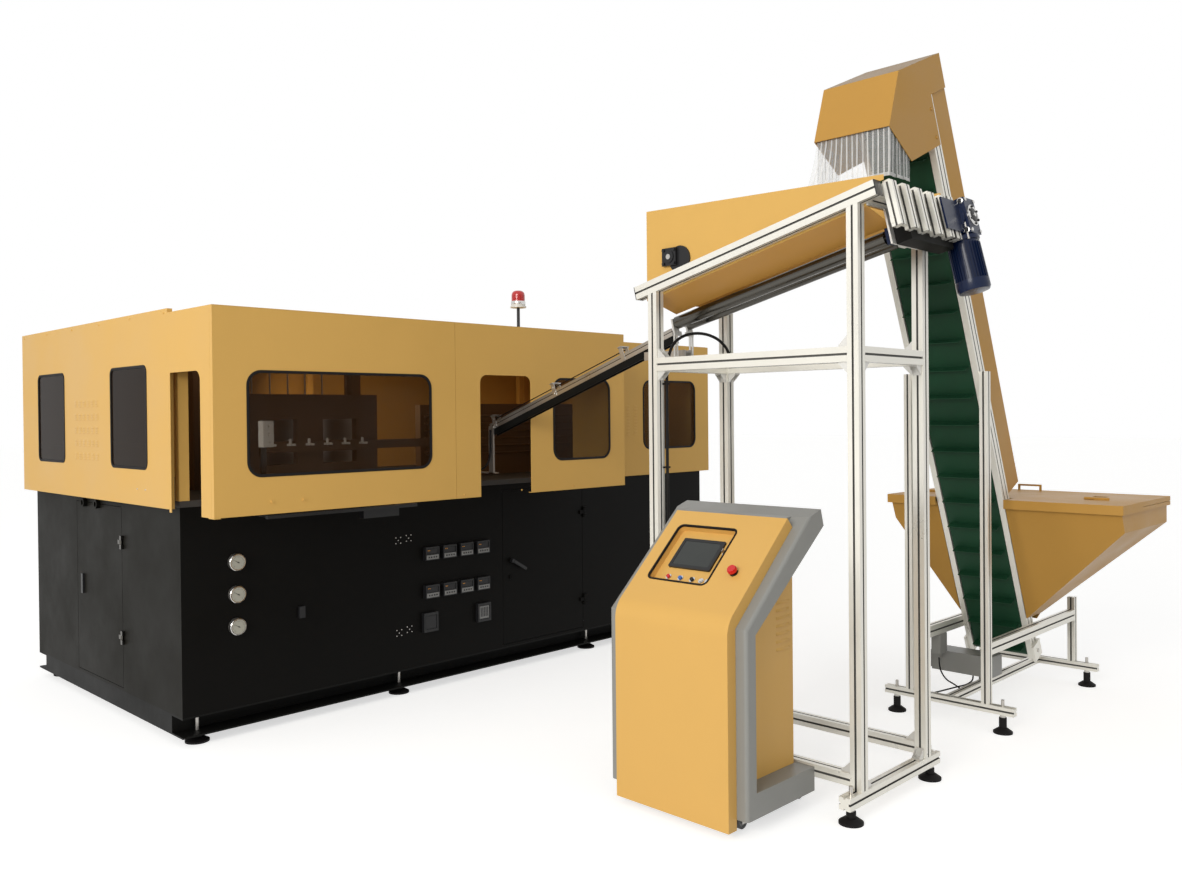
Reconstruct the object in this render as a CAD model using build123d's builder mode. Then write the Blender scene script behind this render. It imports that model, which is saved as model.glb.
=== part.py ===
from build123d import *
import math
import os

os.makedirs("parts", exist_ok=True)

# A stretch blow moulding line for bottles: the machine in its enclosure, the preform chute,
# the roller orienter on its stand, the elevator with its hopper, and the operator console.
# Millimetres. +X runs along the machine, -Y faces the operator, +Z is up.
# The origin lies on the floor under the front left levelling foot of the machine.

# Sheet, clearances and common stock
sheet = 3.0
joint_gap = 0.3
run_gap = 0.4
pin_gap = 0.05

# Base of the machine
base_left = -110.0
base_front = -90.0
base_length = 3950.0
base_depth = 2065.0
base_top = 1186.0
skid_bottom = 50.0
skid_height = 100.0
skid_flange = 130.0
skid_wall = 8.0
panel_fold = 20.0
table_thickness = 30.0

base_right = base_left + base_length
base_back = base_front + base_depth
skid_top = skid_bottom + skid_height
table_bottom = base_top - table_thickness

# Doors in the base
end_door_near = 629.0
end_door_far = 1290.0
front_door_left = 1890.0
front_door_right = 2587.0
door_gap = 3.0
door_bottom = 165.0
door_top = 1120.0
door_fold = 18.0
hinge_radius = 8.0
hinge_pin_radius = 4.0
hinge_length = 70.0

# Enclosure above the base
enclosure_left = base_left - 49.0
enclosure_right = base_right + 86.0
enclosure_back = base_back + 82.0
enclosure_bottom = 1152.0
enclosure_top = 2100.0
rear_front = -110.0
guard_front = -558.0
guard_bottom = 1138.0
guard_top = 2080.0
guard_split = 1177.0
guard_right = 2501.0
guard_fold = 25.0
window_radius = 62.0
small_window_radius = 30.0
pane_thickness = 4.0
pane_lap = 14.0
slot_left = 1345.0
slot_right = 1715.0
slot_top = 1803.0
slot_radius = 45.0
pivot_inset = 6.5
pivot_radius = 2.5
side_cut_far = -112.0
side_cut_near = -432.0
side_cut_top = 1795.0

# Warning beacon on the roof
beacon_x = 2560.0
beacon_y = 500.0
beacon_pole = 254.0
beacon_radius = 50.0
beacon_base_height = 45.0
dome_height = 75.0

# Blowing station behind the big window
cavities = 6
cavity_pitch = 114.0
station_x = 800.0
parting_y = 640.0
mould_depth = 110.0
mould_height = 350.0
mould_bottom = 1270.0
bottle_radius = 33.0
neck_radius = 14.0
platen_thickness = 50.0
clamp_stroke = 120.0
tie_bar_radius = 25.0
stretch_stroke = 270.0
rod_radius = 5.0

# Preform transfer and heating
transfer_y = 215.0
transfer_z = 1455.0

# Preform chute
chute_x = 1620.0
chute_high_y = -1700.0
chute_high_z = 1992.0
chute_low_y = -330.0
chute_low_z = 1530.0
chute_gap = 27.0
chute_rail_width = 6.0
chute_rail_height = 45.0

# Aluminium stand of the orienter
post = 50.0
beam_height = 60.0
stand_left = 1330.0
stand_right = 1910.0
stand_near = -2860.0
stand_far = -1790.0
foot_beam_overhang = 85.0
foot_beam_bottom = 62.0
lower_beam_z = 150.0
upper_beam_z = 1805.0
slot_width = 9.0
slot_depth = 7.0

# Inclined rails, trough and rollers of the orienter
slope = 13.5
rail_wide = 50.0
rail_deep = 60.0
rail_low_y = -1717.0
rail_low_z = 2108.0
rail_length = 1260.0
trough_top_low = 2518.0
trough_top_high = 2484.0
trough_low_y = -1742.0
trough_high_y = -2942.0
roller_radius = 30.0
roller_spacing = 88.0
roller_low_y = -1760.0
roller_low_z = 2014.0
roller_length = 1120.0
roller_shaft_radius = 10.0
kicker_y = -1889.0
kicker_z = 2291.0
kicker_shaft_radius = 12.0

# Elevator conveyor
lift_angle = 66.0
lift_x = 2785.0
lift_z = 1685.0
lift_y = -2530.0
lift_width = 360.0
lift_low = -1600.0
lift_high = 1500.0
lift_rail_wide = 30.0
lift_rail_deep = 75.0
guard_reach = 215.0
belt_width = 290.0
belt_thickness = 3.0
drum_radius = 28.0
drum_shaft_radius = 10.0
cleat_pitch = 150.0
cleat_height = 46.0
cleat_thickness = 4.0
belt_front = 6.0

# Elevator supports
lift_foot_bar = 40.0
lift_bar_bottom = 90.0
lift_front_x = 2775.0
lift_rear_x = 3950.0
lift_bar_half = 340.0
lift_foot_half = 280.0
lift_post_top = 1775.0
lift_rear_post_top = 500.0
lift_beam_z = 400.0

# Hopper
hopper_back = 3780.0
hopper_near = -3270.0
hopper_far = -2080.0
hopper_rim_top = 1095.0
hopper_band_bottom = 985.0
hopper_bottom = 465.0
hopper_bottom_back = 3520.0
rim_lip = 14.0
rim_height = 24.0
lid_height = 24.0
lid_hinge_x = 3325.0

# Operator console
console_front_x = 830.0
console_near = -2651.0
console_far = -1960.0
console_bottom = 30.0
bend_z = 802.0
bend_dx = 400.0
bend_top_z = 1162.0
tray_depth = 50.0
cheek_thickness = 84.0
cabinet_back_x = 1310.0
wheel_radius = 31.0


# Shared shapes

def finish(builder, name):
    builder.part.label = name
    export_step(builder.part, f"parts/{name}.step")


def block(low, high, mode=Mode.ADD):
    middle = [(a + b) / 2 for a, b in zip(low, high)]
    size = [b - a for a, b in zip(low, high)]
    with Locations(tuple(middle)):
        Box(*size, mode=mode)


def rod(start, end, radius, mode=Mode.ADD):
    along = Vector(*end) - Vector(*start)
    with BuildSketch(Plane(origin=start, z_dir=along)) as outline:
        Circle(radius)
    extrude(outline.sketch, amount=along.length, mode=mode)


def folded_panel(plane, inward, u, v, fold, windows=()):
    """A sheet with its four edges folded back; windows are (u0, u1, v0, v1, radius)."""
    middle = ((u[0] + u[1]) / 2, (v[0] + v[1]) / 2)
    with BuildSketch(plane) as outline:
        with Locations(middle):
            Rectangle(u[1] - u[0], v[1] - v[0])
            Rectangle(u[1] - u[0] - 2 * sheet, v[1] - v[0] - 2 * sheet, mode=Mode.SUBTRACT)
    extrude(outline.sketch, amount=inward * fold)
    with BuildSketch(plane) as outline:
        with Locations(middle):
            Rectangle(u[1] - u[0], v[1] - v[0])
        for u0, u1, v0, v1, radius in windows:
            with Locations(((u0 + u1) / 2, (v0 + v1) / 2)):
                RectangleRounded(u1 - u0, v1 - v0, radius, mode=Mode.SUBTRACT)
    extrude(outline.sketch, amount=inward * sheet)


def pane(plane, inward, window):
    """A window pane behind a sheet, lapping the hole all round."""
    u0, u1, v0, v1, radius = window
    with BuildSketch(plane.offset(inward * sheet)) as outline:
        with Locations(((u0 + u1) / 2, (v0 + v1) / 2)):
            RectangleRounded(u1 - u0 + 2 * pane_lap, v1 - v0 + 2 * pane_lap, radius + pane_lap)
    extrude(outline.sketch, amount=inward * pane_thickness)


def slotted_bar(start, along, across, length, wide, high):
    """An aluminium extrusion with a T-slot mouth down each side, or two on a wide side."""
    with BuildSketch(Plane(origin=start, x_dir=across, z_dir=along)) as outline:
        Rectangle(wide, high)
        for size, turned in ((wide, False), (high, True)):
            other = wide if turned else high
            count = 2 if size > 1.4 * post else 1
            for place in range(count):
                shift = (place - (count - 1) / 2) * size / count
                for side in (-1, 1):
                    edge = side * (other - slot_depth) / 2
                    spot = (edge, shift) if turned else (shift, edge)
                    cut = (slot_depth, slot_width) if turned else (slot_width, slot_depth)
                    with Locations(spot):
                        Rectangle(*cut, mode=Mode.SUBTRACT)
    extrude(outline.sketch, amount=length)


# Base of the machine: channel skid, sheet cabinet, table and doors

feet_x = [0.0, 1180.0, 2700.0, base_right - 110.0]
feet_y = [0.0, base_depth + 2 * base_front]

with BuildPart() as base_skid:
    for y0, outward in ((base_front, -1), (base_back, 1)):
        web = y0 - outward * skid_flange
        with BuildSketch(Plane.YZ.offset(base_left)):
            with Locations(((y0 + web) / 2, skid_bottom + skid_height / 2)):
                Rectangle(skid_flange, skid_height)
            with Locations(((y0 + web) / 2 + outward * skid_wall, skid_bottom + skid_height / 2)):
                Rectangle(skid_flange, skid_height - 2 * skid_wall, mode=Mode.SUBTRACT)
        extrude(amount=base_length)
        for x in feet_x:
            with Locations((x, y0 - outward * abs(base_front), skid_bottom)):
                Cylinder(11, 4 * skid_wall, mode=Mode.SUBTRACT)
    inner_front = base_front + skid_flange + joint_gap
    inner_back = base_back - skid_flange - joint_gap
    for x in (base_left, 1135.0, 2655.0, base_right - 80.0):
        block((x, inner_front, skid_bottom), (x + 80.0, inner_back, skid_top))
finish(base_skid, "base_skid")

front_hole = (front_door_left, front_door_right, door_bottom, door_top, 2.0)
end_hole = (end_door_near, end_door_far, door_bottom, door_top, 2.0)
port_z = 1117.0
with BuildPart() as base_panels:
    cabinet_low = skid_top + joint_gap
    cabinet_high = table_bottom - joint_gap
    folded_panel(Plane.XZ.offset(-base_front), -1, (base_left, base_right),
                 (cabinet_low, cabinet_high), panel_fold, [front_hole])
    folded_panel(Plane.XZ.offset(-base_back), 1, (base_left, base_right),
                 (cabinet_low, cabinet_high), panel_fold)
    side_u = (base_front + panel_fold + joint_gap, base_back - panel_fold - joint_gap)
    folded_panel(Plane.YZ.offset(base_left), 1, side_u, (cabinet_low, cabinet_high),
                 panel_fold, [end_hole])
    folded_panel(Plane.YZ.offset(base_right), -1, side_u, (cabinet_low, cabinet_high), panel_fold)
    for y in (947.0, 1143.0):
        with BuildSketch(Plane.YZ.offset(base_left)):
            with Locations((y, port_z)):
                Circle(24)
                Circle(15, mode=Mode.SUBTRACT)
        extrude(amount=-22)
    end_pin_x = base_left - hinge_radius
    for z in (400.0, 900.0):
        for start in (z, z + 2 * hinge_length / 3 + joint_gap):
            block((end_pin_x - hinge_radius, end_door_near - 28.0, start),
                  (base_left, end_door_near - 8.0, start + hinge_length / 3 - joint_gap))
            rod((end_pin_x, end_door_near - 8.0, start),
                (end_pin_x, end_door_near - 8.0, start + hinge_length / 3 - joint_gap), hinge_radius)
        rod((end_pin_x, end_door_near - 8.0, z),
            (end_pin_x, end_door_near - 8.0, z + hinge_length), hinge_pin_radius)
    front_pin_y = base_front - hinge_radius
    for z in (320.0, 900.0):
        for start in (z, z + 2 * hinge_length / 3 + joint_gap):
            block((front_door_right + 8.0, front_pin_y - hinge_radius, start),
                  (front_door_right + 28.0, base_front, start + hinge_length / 3 - joint_gap))
            rod((front_door_right + 8.0, front_pin_y, start),
                (front_door_right + 8.0, front_pin_y, start + hinge_length / 3 - joint_gap),
                hinge_radius)
        rod((front_door_right + 8.0, front_pin_y, z),
            (front_door_right + 8.0, front_pin_y, z + hinge_length), hinge_pin_radius)
finish(base_panels, "base_panels")


def door_knuckle(pin, leaf_low, leaf_high, z):
    """The door's own middle knuckle with its leaf, bored for the pin."""
    low = z + hinge_length / 3 + joint_gap
    high = z + 2 * hinge_length / 3 - joint_gap
    rod((pin[0], pin[1], low), (pin[0], pin[1], high), hinge_radius)
    block((*leaf_low, low), (*leaf_high, high))
    rod((pin[0], pin[1], low - 5), (pin[0], pin[1], high + 5), hinge_pin_radius + pin_gap,
        mode=Mode.SUBTRACT)


with BuildPart() as left_end_door:
    folded_panel(Plane.YZ.offset(base_left), 1,
                 (end_door_near + door_gap, end_door_far - door_gap),
                 (door_bottom + door_gap, door_top - door_gap), door_fold)
    for z in (400.0, 900.0):
        door_knuckle((end_pin_x, end_door_near - 8.0), (end_pin_x - 3.0, end_door_near - 4.0),
                     (base_left, end_door_near + 30.0), z)
    with Locations((base_left - 6.0, end_door_far - 98.0, 658.0)):
        Box(12.0, 26.0, 110.0)
finish(left_end_door, "left_end_door")

lever_x = front_door_left + 66.0
lever_z = 680.0
with BuildPart() as front_base_door:
    folded_panel(Plane.XZ.offset(-base_front), -1,
                 (front_door_left + door_gap, front_door_right - door_gap),
                 (door_bottom + door_gap, door_top - door_gap), door_fold)
    for z in (320.0, 900.0):
        door_knuckle((front_door_right + 8.0, front_pin_y),
                     (front_door_right - 30.0, front_pin_y - 3.0),
                     (front_door_right + 4.0, base_front), z)
    with BuildSketch(Plane.XZ.offset(-base_front)):
        with Locations((lever_x, lever_z)):
            Circle(17)
        with Locations((lever_x, lever_z - 104.0)):
            Circle(14)
            Rectangle(3.0, 9.0, mode=Mode.SUBTRACT)
    extrude(amount=7)
    with Locations((lever_x, base_front, lever_z)):
        Cylinder(6 + pin_gap, 60, rotation=(90, 0, 0), mode=Mode.SUBTRACT)
finish(front_base_door, "front_base_door")

with BuildPart() as door_lever:
    grip_y = base_front - 7.0 - run_gap
    rod((lever_x, grip_y, lever_z), (lever_x, grip_y - 22.0, lever_z), 12)
    rod((lever_x, base_front + 14.0, lever_z), (lever_x, grip_y, lever_z), 6)
    with BuildSketch(Plane.XZ.offset(-(grip_y - 14.0))):
        with Locations(Location((lever_x + 56.0, lever_z - 32.0), -30.0)):
            SlotCenterToCenter(100.0, 18.0)
    extrude(amount=10)
    with Locations((lever_x, base_front + 10.0, lever_z)):
        Box(30.0, 6.0, 16.0)
finish(door_lever, "door_lever")

with BuildPart() as machine_table:
    block((base_left, base_front, table_bottom), (base_right, base_back, base_top))
    for x in (150.0, 1500.0, 2000.0, base_right - 140.0):
        with Locations((x, base_back - 180.0, table_bottom)):
            Cylinder(40, 3 * table_thickness, mode=Mode.SUBTRACT)
finish(machine_table, "machine_table")


# Gauges, meters and switches let into the base's front

gauge_x = 164.0
gauge_z = [869.0, 710.0, 551.0]
gauge_radius = 41.0
meter_x = [1340.0, 1466.0, 1592.0, 1718.0]
meter_rows = [790.0, 571.0]

with BuildPart() as pressure_gauges:
    for z in gauge_z:
        with BuildSketch(Plane.YZ.offset(gauge_x)):
            with BuildLine():
                Polyline(
                    (base_front, z),
                    (base_front, z + gauge_radius),
                    (base_front - 26.0, z + gauge_radius),
                    (base_front - 26.0, z + gauge_radius - 5.0),
                    (base_front - 20.0, z + gauge_radius - 7.0),
                    (base_front - 20.0, z),
                    close=True,
                )
            make_face()
        revolve(axis=Axis((gauge_x, base_front, z), (0, 1, 0)))
finish(pressure_gauges, "pressure_gauges")

with BuildPart() as control_meters:
    for z in meter_rows:
        for x in meter_x:
            block((x - 48.0, base_front - 30.0, z - 38.0), (x + 48.0, base_front, z + 38.0))
            with Locations((x, base_front - 30.0, z + 12.0)):
                Box(80.0, 8.0, 34.0, mode=Mode.SUBTRACT)
    for x in (1330.0, 1725.0):
        block((x - 50.0, base_front - 24.0, 340.0), (x + 50.0, base_front, 450.0))
        with Locations((x, base_front - 24.0, 395.0)):
            Box(80.0, 8.0, 80.0, mode=Mode.SUBTRACT)
    block((500.0, base_front - 16.0, 540.0), (534.0, base_front, 600.0))
finish(control_meters, "control_meters")


# Levelling feet under every module: a domed pad, a threaded stem and a lock nut

def levelling_foot(x, y, under, stem_top, pad=58.0, stem=9.0):
    with BuildSketch(Plane.XZ.offset(-y)) as profile:
        with BuildLine():
            Polyline(
                (x, 0),
                (x + pad, 0),
                (x + pad, 9),
                (x + 0.55 * pad, 24),
                (x + 0.4 * pad, 24),
                (x + 0.4 * pad, under - 14.0),
                (x + stem, under - 14.0),
                (x + stem, stem_top),
                (x, stem_top),
                close=True,
            )
        make_face()
    revolve(profile.sketch, axis=Axis((x, y, 0), (0, 0, 1)))
    with BuildSketch(Plane.XY.offset(under - joint_gap)) as nut:
        with Locations((x, y)):
            RegularPolygon(1.9 * stem, 6)
    extrude(nut.sketch, amount=-13.0)


stand_feet_x = [stand_left + post / 2, stand_right - post / 2]
stand_feet_y = [stand_near + post / 2, stand_far - post / 2]
lift_feet_y = [lift_y - lift_foot_half, lift_y + lift_foot_half]
stand_foot_spots = [(stand_feet_x[0] - 62.0, y) for y in stand_feet_y]
stand_foot_spots += [(stand_feet_x[1] + 62.0, y) for y in stand_feet_y]
lift_foot_spots = [(x, y) for x in (lift_front_x, lift_rear_x) for y in lift_feet_y]
foot_beam_top = foot_beam_bottom + post
lift_bar_top = lift_bar_bottom + lift_foot_bar

with BuildPart() as levelling_feet:
    for x in feet_x:
        for y in feet_y:
            levelling_foot(x, y, skid_bottom, skid_top - 2 * skid_wall - 4.0)
    for x, y in stand_foot_spots:
        levelling_foot(x, y, foot_beam_bottom, foot_beam_top + 32.0, 48.0, 8.0)
    for x, y in lift_foot_spots:
        levelling_foot(x, y, lift_bar_bottom, lift_bar_top + 32.0, 46.0, 8.0)
finish(levelling_feet, "levelling_feet")


# Enclosure: end wall with its posts, front guard box, guard door and the rear panels

end_windows = [
    (1322.0, 1760.0, 1343.0, 1838.0, small_window_radius),
    (166.0, 620.0, 1338.0, 1836.0, small_window_radius),
]
right_window = (1897.0, 2364.0, 1321.0, 1789.0, window_radius)
rear_window = (enclosure_right - 736.0, enclosure_right - 165.0, 1340.0, 1813.0, window_radius)
door_window_hole = (6.0, 1011.0, 1318.0, 1788.0, window_radius)

end_plane = Plane.YZ.offset(enclosure_left)
guard_plane = Plane.XZ.offset(-guard_front)
rear_plane = Plane.XZ.offset(-rear_front)
inner_post = 48.0
rear_fold = base_front - rear_front - 5.0

with BuildPart() as end_enclosure:
    folded_panel(end_plane, 1, (base_front, enclosure_back), (enclosure_bottom, enclosure_top),
                 guard_fold, end_windows)
    for y0 in (base_front + 1.0, 960.0, enclosure_back - guard_fold - inner_post - joint_gap):
        low = base_top if y0 < base_back - inner_post else enclosure_bottom + 10.0
        x0 = base_left if y0 < 500.0 else enclosure_left + guard_fold + joint_gap
        block((x0, y0, low + joint_gap), (x0 + inner_post, y0 + inner_post, guard_top - 10.0))
        block((x0 + 4.0, y0 + 4.0, low + 60.0), (x0 + inner_post - 4.0, y0 + inner_post - 4.0,
              guard_top - 70.0), mode=Mode.SUBTRACT)
finish(end_enclosure, "end_enclosure")

side_near = guard_front + guard_fold + 3 * joint_gap
side_far = base_front - joint_gap
# Room behind the side for the corner of the door's fold, which swings past it
fold_clearance = 2.0
with BuildPart() as front_guard_box:
    # Top sheet, reaching over the door to the front
    block((enclosure_left, guard_front, guard_top - sheet),
          (guard_right, base_front - joint_gap, guard_top))
    # Left side with the cut-out through which the post behind it shows
    with BuildSketch(Plane.YZ.offset(enclosure_left)):
        with Locations(((side_near + side_far) / 2, (guard_bottom + guard_top) / 2)):
            Rectangle(side_far - side_near, guard_top - guard_bottom)
        with BuildLine():
            Polyline(
                (side_cut_far, guard_bottom),
                (side_cut_far, side_cut_top),
                (side_cut_near + slot_radius, side_cut_top),
            )
            RadiusArc((side_cut_near + slot_radius, side_cut_top),
                      (side_cut_near, side_cut_top - slot_radius), -slot_radius)
            Polyline(
                (side_cut_near, side_cut_top - slot_radius),
                (side_cut_near, guard_bottom),
                (side_cut_far, guard_bottom),
            )
        make_face(mode=Mode.SUBTRACT)
    extrude(amount=sheet)
    # Right half of the front, with its folds, window and the slot for the chute
    folded_panel(guard_plane, -1, (guard_split + 1.0, guard_right), (guard_bottom, guard_top),
                 guard_fold, [right_window])
    with BuildSketch(guard_plane.offset(1.0)):
        with Locations(((slot_left + slot_right) / 2, (guard_bottom + slot_top) / 2 - 30.0)):
            RectangleRounded(slot_right - slot_left, slot_top - guard_bottom + 60.0, slot_radius)
    extrude(amount=-2 * guard_fold, mode=Mode.SUBTRACT)
    # Right side, closed down to the base
    block((guard_right - sheet, guard_front + sheet, guard_bottom),
          (guard_right, rear_front - joint_gap, guard_top))
    # Lower pivot lug of the guard door
    block((enclosure_left, guard_front, guard_bottom - sheet - joint_gap),
          (enclosure_left + 30.0, side_near + 30.0, guard_bottom - joint_gap))
    block((enclosure_left, side_near + fold_clearance, guard_bottom - joint_gap),
          (enclosure_left + 30.0, side_near + 30.0, guard_bottom + sheet))
    pivot = (enclosure_left + pivot_inset, guard_front + pivot_inset)
    rod((*pivot, guard_bottom - sheet), (*pivot, guard_bottom + 12.0), pivot_radius)
    rod((*pivot, guard_top), (*pivot, guard_top - 15.0), pivot_radius)
finish(front_guard_box, "front_guard_box")

with BuildPart() as front_guard_door:
    door_low = guard_bottom + run_gap
    door_high = guard_top - sheet - run_gap
    folded_panel(guard_plane, -1, (enclosure_left, guard_split - 1.0), (door_low, door_high),
                 guard_fold, [door_window_hole])
    for z in (guard_bottom - 5.0, guard_top - 25.0):
        rod((*pivot, z), (*pivot, z + 30.0), pivot_radius + pin_gap, mode=Mode.SUBTRACT)
    # Two grip bolts on the lower edge
    for x in (115.0, 275.0):
        rod((x, guard_front, 1195.0), (x, guard_front - 7.0, 1195.0), 6)
finish(front_guard_door, "front_guard_door")

with BuildPart() as door_window:
    pane(guard_plane, -1, door_window_hole)
finish(door_window, "door_window")

with BuildPart() as rear_enclosure:
    # Front of the right section
    folded_panel(rear_plane, -1, (guard_right + joint_gap, enclosure_right),
                 (enclosure_bottom, guard_top), rear_fold, [rear_window])
    # Right end, back and roof
    right_v = (rear_front + rear_fold + joint_gap, enclosure_back - guard_fold - joint_gap)
    folded_panel(Plane.YZ.offset(enclosure_right), -1, right_v, (enclosure_bottom, guard_top),
                 guard_fold)
    back_u = (enclosure_left + guard_fold + 1.0, enclosure_right)
    folded_panel(Plane.XZ.offset(-enclosure_back), 1, back_u, (enclosure_bottom, guard_top),
                 guard_fold)
    block((enclosure_left + guard_fold + joint_gap, base_front + joint_gap, guard_top + joint_gap),
          (enclosure_right, enclosure_back, guard_top + sheet))
    # Legs that carry the roof's right side on the table
    for y0 in (base_front + 40.0, base_back - 90.0):
        for x0 in (1700.0, base_right - inner_post - 4.0):
            block((x0, y0, base_top), (x0 + inner_post, y0 + inner_post, guard_top))
finish(rear_enclosure, "rear_enclosure")

with BuildPart() as window_panes:
    for window in end_windows:
        pane(end_plane, 1, window)
    pane(guard_plane, -1, right_window)
    pane(rear_plane, -1, rear_window)
finish(window_panes, "window_panes")

roof_z = guard_top + sheet
with BuildPart() as beacon_mast:
    with BuildSketch(Plane.XZ.offset(-beacon_y)):
        with BuildLine():
            Polyline(
                (beacon_x, roof_z),
                (beacon_x + 34.0, roof_z),
                (beacon_x + 34.0, roof_z + 6.0),
                (beacon_x + 11.0, roof_z + 10.0),
                (beacon_x + 11.0, roof_z + beacon_pole),
                (beacon_x + beacon_radius + 6.0, roof_z + beacon_pole),
                (beacon_x + beacon_radius + 6.0, roof_z + beacon_pole + 10.0),
                (beacon_x + beacon_radius, roof_z + beacon_pole + 12.0),
                (beacon_x + beacon_radius, roof_z + beacon_pole + beacon_base_height),
                (beacon_x, roof_z + beacon_pole + beacon_base_height),
                close=True,
            )
        make_face()
    revolve(axis=Axis((beacon_x, beacon_y, 0), (0, 0, 1)))
finish(beacon_mast, "beacon_mast")

dome_z = roof_z + beacon_pole + beacon_base_height
with BuildPart() as beacon_dome:
    rod((beacon_x, beacon_y, dome_z), (beacon_x, beacon_y, dome_z + dome_height), beacon_radius - 4.0)
    fillet(beacon_dome.faces().sort_by(Axis.Z)[-1].edges(), 30.0)
finish(beacon_dome, "beacon_dome")


# Blowing station: tie bars and end platens, two mould halves, stretch rods above

mould_width = cavities * cavity_pitch + 60.0
mould_block_width = cavity_pitch - 2.0
mould_top = mould_bottom + mould_height
station_half = mould_width / 2 + 70.0
tie_x = station_half - 45.0
tie_z = (mould_bottom - 30.0, mould_top + 30.0)
platen_low = base_top + joint_gap
platen_high = mould_top + 90.0
carrier_gap = 0.5
clamp_reach = mould_depth + platen_thickness + clamp_stroke + 25.0
front_platen_y = parting_y - clamp_reach - platen_thickness
back_platen_y = parting_y + clamp_reach
bar_ends = (front_platen_y + 10.0, back_platen_y + platen_thickness - 10.0)
column_x = (station_x - station_half - 60.0, station_x + station_half + 60.0)
guide_radius = 10.0
guide_x = (column_x[0] + 50.0, column_x[1] - 50.0)
gantry_z = 2010.0
# At the end of its stroke the carriage stops just over the upper tie bars
carriage_low = tie_z[1] + tie_bar_radius + 5.0 + stretch_stroke
carriage_high = carriage_low + 35.0
rod_rest = mould_top + 20.0

with BuildPart() as clamp_frame:
    for y0 in (front_platen_y, back_platen_y):
        block((station_x - station_half, y0, platen_low),
              (station_x + station_half, y0 + platen_thickness, platen_high))
        for x in (station_x - 190.0, station_x + 190.0):
            with Locations((x, y0 + platen_thickness / 2, mould_bottom + mould_height / 2)):
                Box(220.0, 2 * platen_thickness, 250.0, mode=Mode.SUBTRACT)
    for x in (station_x - tie_x, station_x + tie_x):
        for z in tie_z:
            rod((x, bar_ends[0], z), (x, bar_ends[1], z), tie_bar_radius)
    # Guide shafts of the stretch carriage
    for x in guide_x:
        rod((x, parting_y, base_top), (x, parting_y, gantry_z), guide_radius)
    # Columns and crossbeam over the moulds
    for x in column_x:
        block((x - 30.0, parting_y - 40.0, base_top), (x + 30.0, parting_y + 40.0, gantry_z))
    block((column_x[0] - 30.0, parting_y - 60.0, gantry_z),
          (column_x[1] + 30.0, parting_y + 60.0, gantry_z + 40.0))
finish(clamp_frame, "clamp_frame")


def mould_half(outward):
    """A platen with a mould block for each bottle, which has half of the cavity in its face."""
    face = parting_y + outward * carrier_gap / 2
    back = face + outward * mould_depth
    rear = back + outward * platen_thickness
    low, high = sorted((face, back - outward * joint_gap))
    for i in range(cavities):
        x = station_x + (i - (cavities - 1) / 2) * cavity_pitch
        block((x - mould_block_width / 2, low, mould_bottom),
              (x + mould_block_width / 2, high, mould_top))
    low, high = sorted((back, rear))
    block((station_x - station_half + 5.0, low, mould_bottom - 60.0),
          (station_x + station_half - 5.0, high, mould_top + 60.0))
    for i in range(cavities):
        x = station_x + (i - (cavities - 1) / 2) * cavity_pitch
        with BuildSketch(Plane.XZ.offset(-parting_y)) as bottle:
            with BuildLine():
                Line((x, mould_bottom + 60.0), (x + bottle_radius, mould_bottom + 60.0))
                Line((x + bottle_radius, mould_bottom + 60.0),
                     (x + bottle_radius, mould_top - 110.0))
                Line((x + bottle_radius, mould_top - 110.0), (x + neck_radius, mould_top - 45.0))
                Line((x + neck_radius, mould_top - 45.0), (x + neck_radius, mould_top + 1.0))
                Line((x + neck_radius, mould_top + 1.0), (x, mould_top + 1.0))
                Line((x, mould_top + 1.0), (x, mould_bottom + 60.0))
            make_face()
        revolve(bottle.sketch, axis=Axis((x, parting_y, 0), (0, 0, 1)), mode=Mode.SUBTRACT)
    for bar_x in (station_x - tie_x, station_x + tie_x):
        for z in tie_z:
            rod((bar_x, low - 5, z), (bar_x, high + 5, z), tie_bar_radius + pin_gap,
                mode=Mode.SUBTRACT)


with BuildPart() as mould_half_front:
    mould_half(-1)
finish(mould_half_front, "mould_half_front")

with BuildPart() as mould_half_back:
    mould_half(1)
finish(mould_half_back, "mould_half_back")

with BuildPart() as stretch_carriage:
    block((column_x[0] + 31.0, parting_y - 35.0, carriage_low),
          (column_x[1] - 31.0, parting_y + 35.0, carriage_high))
    for i in range(cavities):
        x = station_x + (i - (cavities - 1) / 2) * cavity_pitch
        rod((x, parting_y, rod_rest), (x, parting_y, carriage_low + 20.0), rod_radius)
        rod((x, parting_y, carriage_high - 1.0), (x, parting_y, carriage_high + 16.0), 14)
    for x in guide_x:
        rod((x, parting_y, carriage_low - 1.0), (x, parting_y, carriage_high + 1.0),
            guide_radius + pin_gap, mode=Mode.SUBTRACT)
finish(stretch_carriage, "stretch_carriage")


# Preform transfer in front of the moulds and the heaters to the right of them

track_left = 330.0
track_right = 1880.0
with BuildPart() as transfer_track:
    block((track_left, transfer_y + 30.0, transfer_z - 60.0),
          (track_right, transfer_y + 60.0, transfer_z - 10.0))
    for x in (track_left + 40.0, track_right - 40.0):
        block((x - 20.0, transfer_y + 60.0, base_top), (x + 20.0, transfer_y + 68.0, transfer_z - 10.0))
    block((track_left, transfer_y + 22.0, transfer_z - 42.0),
          (track_right, transfer_y + 30.0, transfer_z - 28.0))
finish(transfer_track, "transfer_track")

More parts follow.
